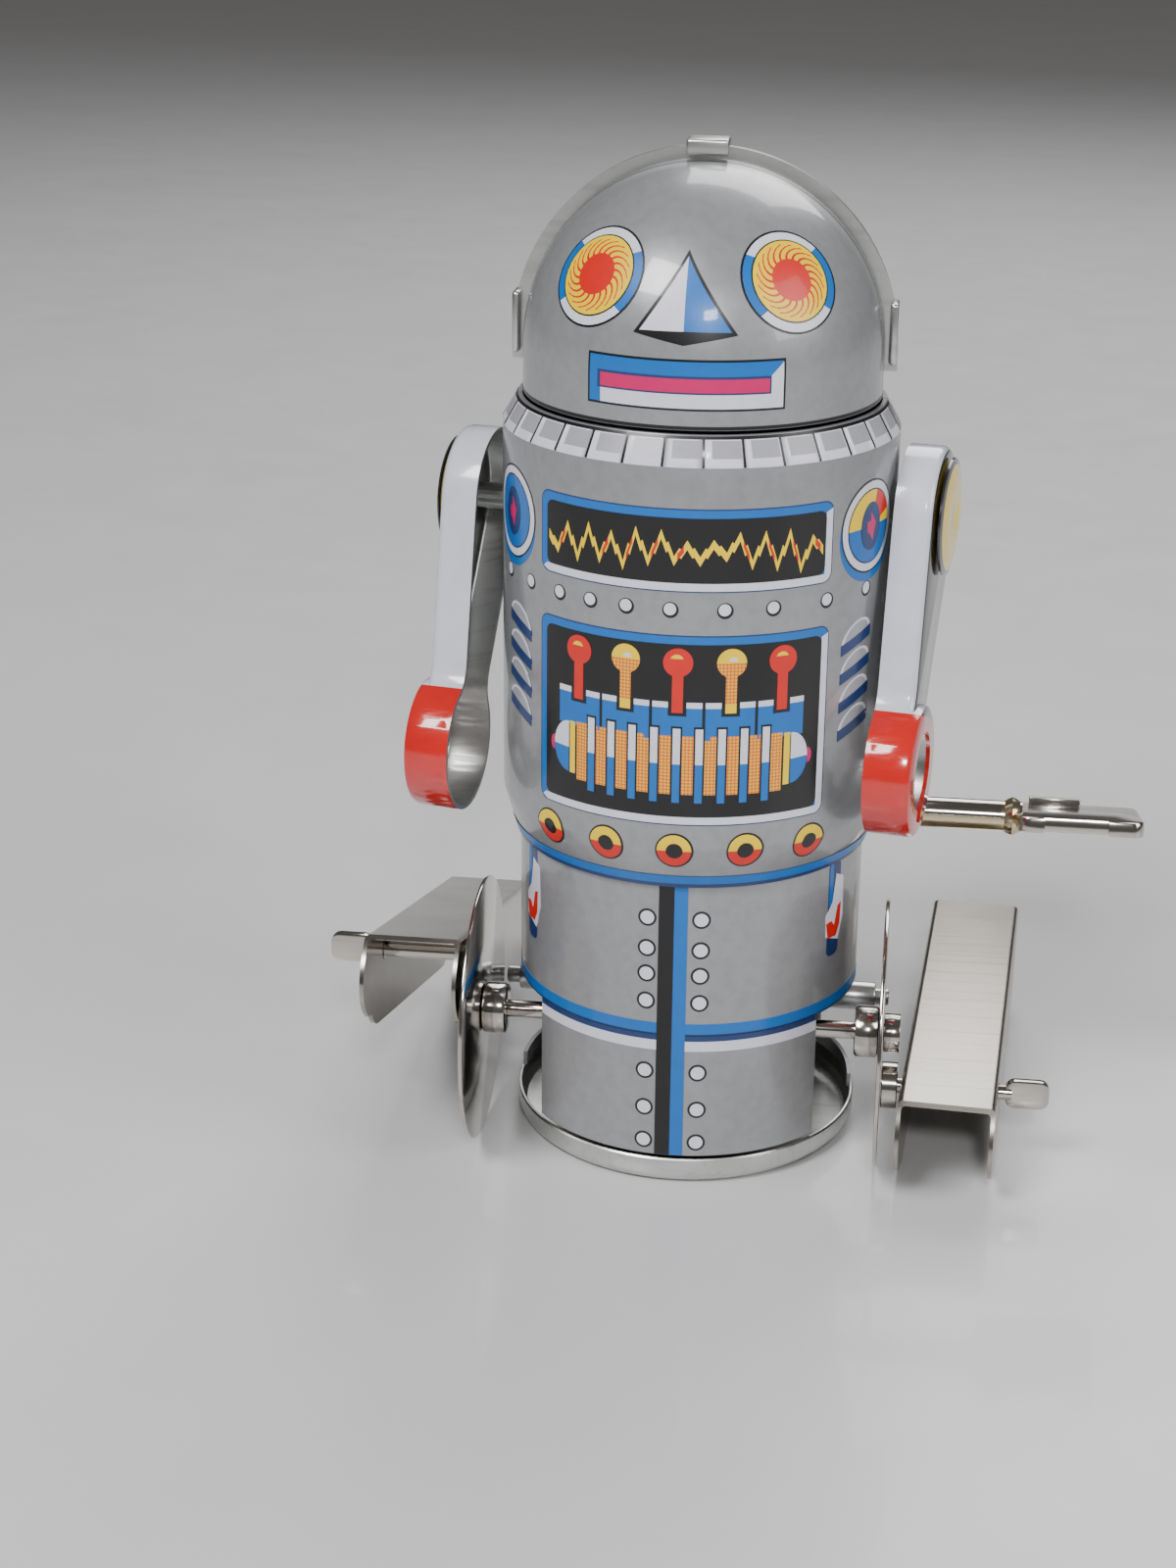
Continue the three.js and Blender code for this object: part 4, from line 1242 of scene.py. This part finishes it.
# ---- cranks and feet ------------------------------------------------------------------------
@dataclass
class Drive:
    """Axle, crank discs, pins and guide rod."""

    keeper: Keeper
    disc_bore: float = 0.91
    sleeve_bore: float = 0.96
    pin: float = 0.75
    paddle: float = 4.2

    @staticmethod
    def _box(node: str) -> tuple[Vector, Vector, Point2]:
        """A node's corners and its (y, z) middle, in millimetres."""
        low, high = node_box(node)
        return low, high, ((low.y + high.y) / 2, (low.z + high.z) / 2)

    def build(self) -> None:
        """Makes the turned pieces on both sides."""
        for node, body, finish, slot in (("main_axle", "drive", NICKEL, "nickel"),
                                         ("guide_rod", "body", ZINC, "zinc")):
            low, high, at = self._box(node)
            rod = Bench.rod(f"{node}_bar", (high.y - low.y) / 2, low.x, high.x, at, 0.2)
            self.keeper.keep(rod, finish, body, slot, node)
        for name, side in (("left", -1), ("right", 1)):
            self._disc(name)
            for node, rounding in (("disc_collar", 0.3), ("axle_boss", 0.1)):
                self._ring(f"{name}_{node}", self.disc_bore, rounding, NICKEL, "drive", "nickel")
            self._ring(f"{name}_rod_sleeve", self.sleeve_bore, 0.2, ZINC, "body", "zinc")
            self._crank_pin(name, side)

    def _ring(self, node: str, bore: float, rounding: float, finish: Finish, body: str,
              slot: str) -> None:
        """A turned ring in place of a plain one."""
        low, high, at = self._box(node)
        ring = Bench.tube(f"{node}_ring", (high.z - low.z) / 2, bore, low.x, high.x, at,
                          min(rounding, (high.x - low.x) * 0.3))
        self.keeper.keep(ring, finish, body, slot, node)

    def _disc(self, name: str) -> None:
        """A bright disc with softened rims."""
        low, high, at = self._box(f"{name}_crank_disc")
        r, t = (high.z - low.z) / 2, 0.1
        profile = [(self.disc_bore, low.x), (r - 0.12, low.x), (r - 0.03, low.x + 0.04),
                   (r, low.x + t), (r, high.x - t), (r - 0.03, high.x - 0.04), (r - 0.12, high.x),
                   (self.disc_bore, high.x)]
        disc = Bench.turned(f"{name}_disc_blank", profile, 160)
        disc.data.transform(Matrix.Translation((0, *at)))
        self.keeper.keep(disc, NICKEL, "drive", "nickel", f"{name}_crank_disc")

    def _crank_pin(self, name: str, side: int) -> None:
        """Shouldered pin with its end hammered flat."""
        low, high, at = self._box(f"{name}_crank_pin")
        near, far = (low.x, high.x) if side > 0 else (-high.x, -low.x)
        collar_radius = (high.z - low.z) / 2
        spacer = {"left": 0.35, "right": 1.55}[name]
        c = 0.1
        profile = [(0, near), (collar_radius - c, near), (collar_radius, near + c),
                   (collar_radius, near + spacer - c), (collar_radius - c, near + spacer),
                   (self.pin, near + spacer), (self.pin, far - self.paddle + 0.6),
                   (0, far - self.paddle + 0.6)]
        pin = Bench.turned(f"{name}_pin_turned", profile, 64)
        flat = Bench.slab("flat", (far - self.paddle, -0.45, -1.45), (far, 0.45, 1.45))
        Bench.bevel(flat, lambda a, b: abs((a - b).y) > 0.5, 0.9, 4)
        Bench.bevel(flat, lambda a, b: abs((a - b).y) < 1e-3, 0.14, 2)
        Bench.weld(pin, flat)
        if side < 0:
            Bench.mirror(pin)
        pin.data.transform(Matrix.Translation((0, *at)))
        self.keeper.keep(pin, NICKEL, "drive", "nickel", f"{name}_crank_pin")


@dataclass
class Foot:
    """A long bent channel with bulging toes, hung on its crank pin."""

    keeper: Keeper
    name: str
    pin: Vector
    slope: float
    toe_out: float
    length: float = 46.0
    width: float = 9.2
    sheet: float = 0.4
    depth: float = 9.6
    toe: float = 2.3
    pin_back: float = 7.8
    pin_below: float = 2.5
    pin_hole: float = 1.05

    def _flange(self) -> Outline:
        """Side view of the channel, from the front edge of its top plate."""
        length, depth, toe = self.length, self.depth, self.toe
        front = curve((0, 0), (-toe * 0.9, -depth * 0.25), (-toe * 1.7, -depth * 0.62),
                      (1.2, -depth * 0.85))
        chin = arc(6, -depth + 4.8, 4.8, 210, 270, 8)
        heel = arc(length - 4, -depth + 4, 4, -90, 0, 10)
        return [*front, *chin[2:], *heel, (length, 0)]

    def build(self) -> None:
        """Makes the foot."""
        half = self.width / 2
        outline = [(-half, y, z) for y, z in self._flange()]
        block = Bench.extrude(Bench.polygon(f"{self.name}_foot_channel", outline),
                              (self.width, 0, 0))
        Bench.bevel(block, lambda a, b: a.z > -0.01 and b.z > -0.01 and abs(a.x - b.x) < 0.01,
                    0.6, 5)
        inner = half - self.sheet
        hollow = Bench.slab("hollow", (-inner, -20, -30), (inner, self.length + 20, -self.sheet))
        Bench.bevel(hollow, lambda a, b: a.z > -1 and b.z > -1 and abs(a.x - b.x) < 0.01, 0.35, 4)
        drill = Bench.rod("drill", self.pin_hole, -10, 10, (self.pin_back, -self.pin_below))
        Bench.cut(block, hollow, drill)
        turn = (Matrix.Translation(self.pin) @ Matrix.Rotation(math.radians(self.toe_out), 4, "Z")
                @ Matrix.Rotation(-math.radians(self.slope), 4, "X")
                @ Matrix.Translation((0, -self.pin_back, self.pin_below)))
        # The feet get the darkened nickel: painted shade for the dark backdrop that the plates
        # reflect.
        self.keeper.keep(block, SHADED_FOOT_NICKEL, f"{self.name}_foot", "nickel", f"{self.name}_foot",
                         turn=turn)


# ---- key ------------------------------------------------------------------------------------
@dataclass
class WindingKey:
    """Rolled tube key with a seam, a yellowed knuckle and a notched flat bow."""

    keeper: Keeper
    radius: float = 1.5
    neck: float = 30.3
    bow_from: float = 31.4
    bow_width: float = 11.5
    sheet: float = 1.5
    tilt: float = -14.0

    def build(self) -> None:
        """Makes the key."""
        low, high = node_box("winding_key")
        arbor_low, arbor_high = node_box("winding_arbor")
        at = (arbor_low + arbor_high) / 2
        r, c = self.radius, 0.15
        knuckle = [(1.9 - 0.4 * abs(s)**1.5, self.bow_from - 0.35 + 0.75 * s)
                   for s in (-1, -0.5, 0, 0.5, 1)]
        profile = [(1.0, low.x), (r - c, low.x), (r, low.x + c), (r, self.neck - 0.3), *knuckle,
                   (r, self.bow_from + 0.6), (0, self.bow_from + 0.6), (0, low.x + 5.2),
                   (1.0, low.x + 5.0)]
        key = Bench.turned("key_shank_and_bow", profile, 64)
        Bench.cut(key, Bench.slab("seam", (low.x - 1, -2, -0.06),
                                  (self.neck - 0.4, -r + 0.18, 0.06)))
        w, t = self.bow_width / 2, self.sheet / 2
        far = high.x - 0.02
        bow = Bench.slab("bow", (self.bow_from, -w, -t), (far, w, t))
        Bench.bevel(bow, lambda a, b: abs((a - b).z) > 0.5, 1.2, 5)
        Bench.cut(bow, Bench.slab("notch", (self.bow_from + 2.6, -w - 1, -2),
                                  (far - 3.4, -w + 1.2, 2)))
        Bench.bevel(bow, lambda a, b: abs(a.z - b.z) < 1e-3, 0.22, 2)
        lug = Bench.slab("lug", (self.bow_from + 1.4, w - 1.4, t - 0.2),
                         (far - 5.6, w - 0.4, t + 0.7), 0.15)
        Bench.weld(key, bow, lug)
        self._tint(key)
        turn = (Matrix.Translation((0, at.y, at.z))
                @ Matrix.Rotation(math.radians(self.tilt), 4, "X"))
        self.keeper.keep(key, None, "winding", "nickel", "winding_key", turn=turn)

    def _tint(self, key: bpy.types.Object) -> None:
        """Nickel all over, yellowed at the knuckle and below the seam."""
        key.data.materials.append(NICKEL.material())
        key.data.materials.append(YELLOWED.material())
        for face in key.data.polygons:
            x, _, z = face.center
            knuckle = self.neck - 0.4 < x < self.bow_from + 0.5
            face.material_index = int(knuckle or (x < self.neck and z < -0.05))


# ---- pieces of the frame that stay ----------------------------------------------------------
@dataclass
class InnerWorks:
    """The clockwork and the rivets keep their CAD shapes and get their real finishes."""

    nodes: dict
    finishes: dict[str, Finish] = field(default_factory=lambda: {
        "brass": BRASS, "nickel": NICKEL, "zinc": ZINC, "spring_steel": BLUED, "tinplate": TIN,
        "enamel_silver": SILVER, "enamel_white": WHITE_ENAMEL, "enamel_yellow": YELLOW_ENAMEL})

    def dress(self, record: dict) -> None:
        """Gives every CAD node the finish of its slot.

        Args:
            record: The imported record.
        """
        for row in record["subparts"]:
            node = self.nodes[row["node"]]
            finish = self.finishes[row["material_slot"]].material()
            if node.data.materials:
                for index in range(len(node.material_slots)):
                    node.material_slots[index].material = finish
            else:
                node.data.materials.append(finish)


# ---- studio ---------------------------------------------------------------------------------
@dataclass
class Studio:
    """Pale floor, soft lights and the camera."""

    eye: tuple[float, float, float] = (20.55, -243.89, 129.03)
    right: tuple[float, float, float] = (0.9921, 0.1253, 0.0)
    forward: tuple[float, float, float] = (-0.1169, 0.9254, -0.3603)
    lens: float = 61.9
    roll: float = 0.0096

    def build(self) -> None:
        """Sets up the floor, the lights and the camera."""
        self._floor()
        self._lights()
        self._camera()

    def _floor(self) -> None:
        """A plain pale table top."""
        paint = Finish("pale_table", (0.66, 0.66, 0.67), (0.60, 0.60, 0.61), roughness=0.4,
                       coat=0.15, amount=0.4, scale=30, relief=0.01)
        bpy.ops.object.select_all(action="DESELECT")
        bpy.ops.mesh.primitive_plane_add(size=6, location=(0, 0, -0.00005))
        floor = bpy.context.object
        floor.name = "table_top"
        floor.data.materials.append(paint.material())

    def _lights(self) -> None:
        """A large key light, a fill, a small one in front, one behind, and a dim room."""
        world = bpy.data.worlds.new("studio")
        world.use_nodes = True
        world.node_tree.nodes["Background"].inputs["Color"].default_value = (0.16, 0.155, 0.15, 1)
        world.node_tree.nodes["Background"].inputs["Strength"].default_value = 0.7
        bpy.context.scene.world = world
        for name, place, size, power in (("key", (-0.28, -0.40, 0.60), 0.26, 4.6),
                                         ("fill", (0.55, -0.25, 0.35), 0.35, 2.0),
                                         ("front", (0.06, -0.42, 0.30), 0.05, 0.8),
                                         ("back", (0.1, 0.5, 0.5), 0.4, 2.6)):
            lamp = bpy.data.lights.new(name, "AREA")
            lamp.size = size
            lamp.energy = power
            holder = bpy.data.objects.new(name, lamp)
            holder.location = place
            aim = Vector((0, 0, 0.05)) - Vector(place)
            holder.rotation_euler = aim.to_track_quat("-Z", "Y").to_euler()
            bpy.context.scene.collection.objects.link(holder)

    def _camera(self) -> None:
        """A short telephoto view from the front, a little above."""
        right, forward = Vector(self.right), Vector(self.forward)
        up = right.cross(forward)
        across = (right + self.roll * up).normalized()
        up = (up - self.roll * right).normalized()
        camera = bpy.data.cameras.new("camera")
        camera.lens = self.lens
        camera.clip_start = 0.01
        holder = bpy.data.objects.new("camera", camera)
        turn = Matrix((across, up, -forward)).transposed().to_4x4()
        holder.matrix_world = Matrix.Translation(Vector(self.eye) * MM) @ turn
        bpy.context.scene.collection.objects.link(holder)
        bpy.context.scene.camera = holder


def main() -> None:
    """Builds the robot around the frame."""
    logging.basicConfig(level=logging.INFO, format="%(name)s %(message)s")
    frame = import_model()
    record = frame["record"]
    joints = {joint["name"]: joint for joint in record["behaviour"]["joints"]}
    keeper = Keeper()
    Studio().build()
    InnerWorks(frame["nodes"]).dress(record)
    shells = Shells(keeper)
    shells.build()
    FacePrint(shells, keeper).build()
    TorsoPrint(shells, keeper).build()
    HipsPrint(shells, keeper).build()
    for name, side in (("left", -1), ("right", 1)):
        hinge = joints[f"{name}_arm_swing"]
        axis = hinge["axis"]
        Arm(keeper, name, side, Vector(hinge["pos_m"]) / MM, math.atan2(axis[1], axis[0])).build()
    Drive(keeper).build()
    for name, slope, toe_out in (("left", 16.0, 0.0), ("right", -1.2, -3.6)):
        pin = Vector(joints[f"{name}_foot_pin"]["pos_m"]) / MM
        Foot(keeper, name, pin, slope, toe_out).build()
    WindingKey(keeper).build()
    LOG.info("%d pieces", keeper.count)


if __name__ == "__main__":
    main()
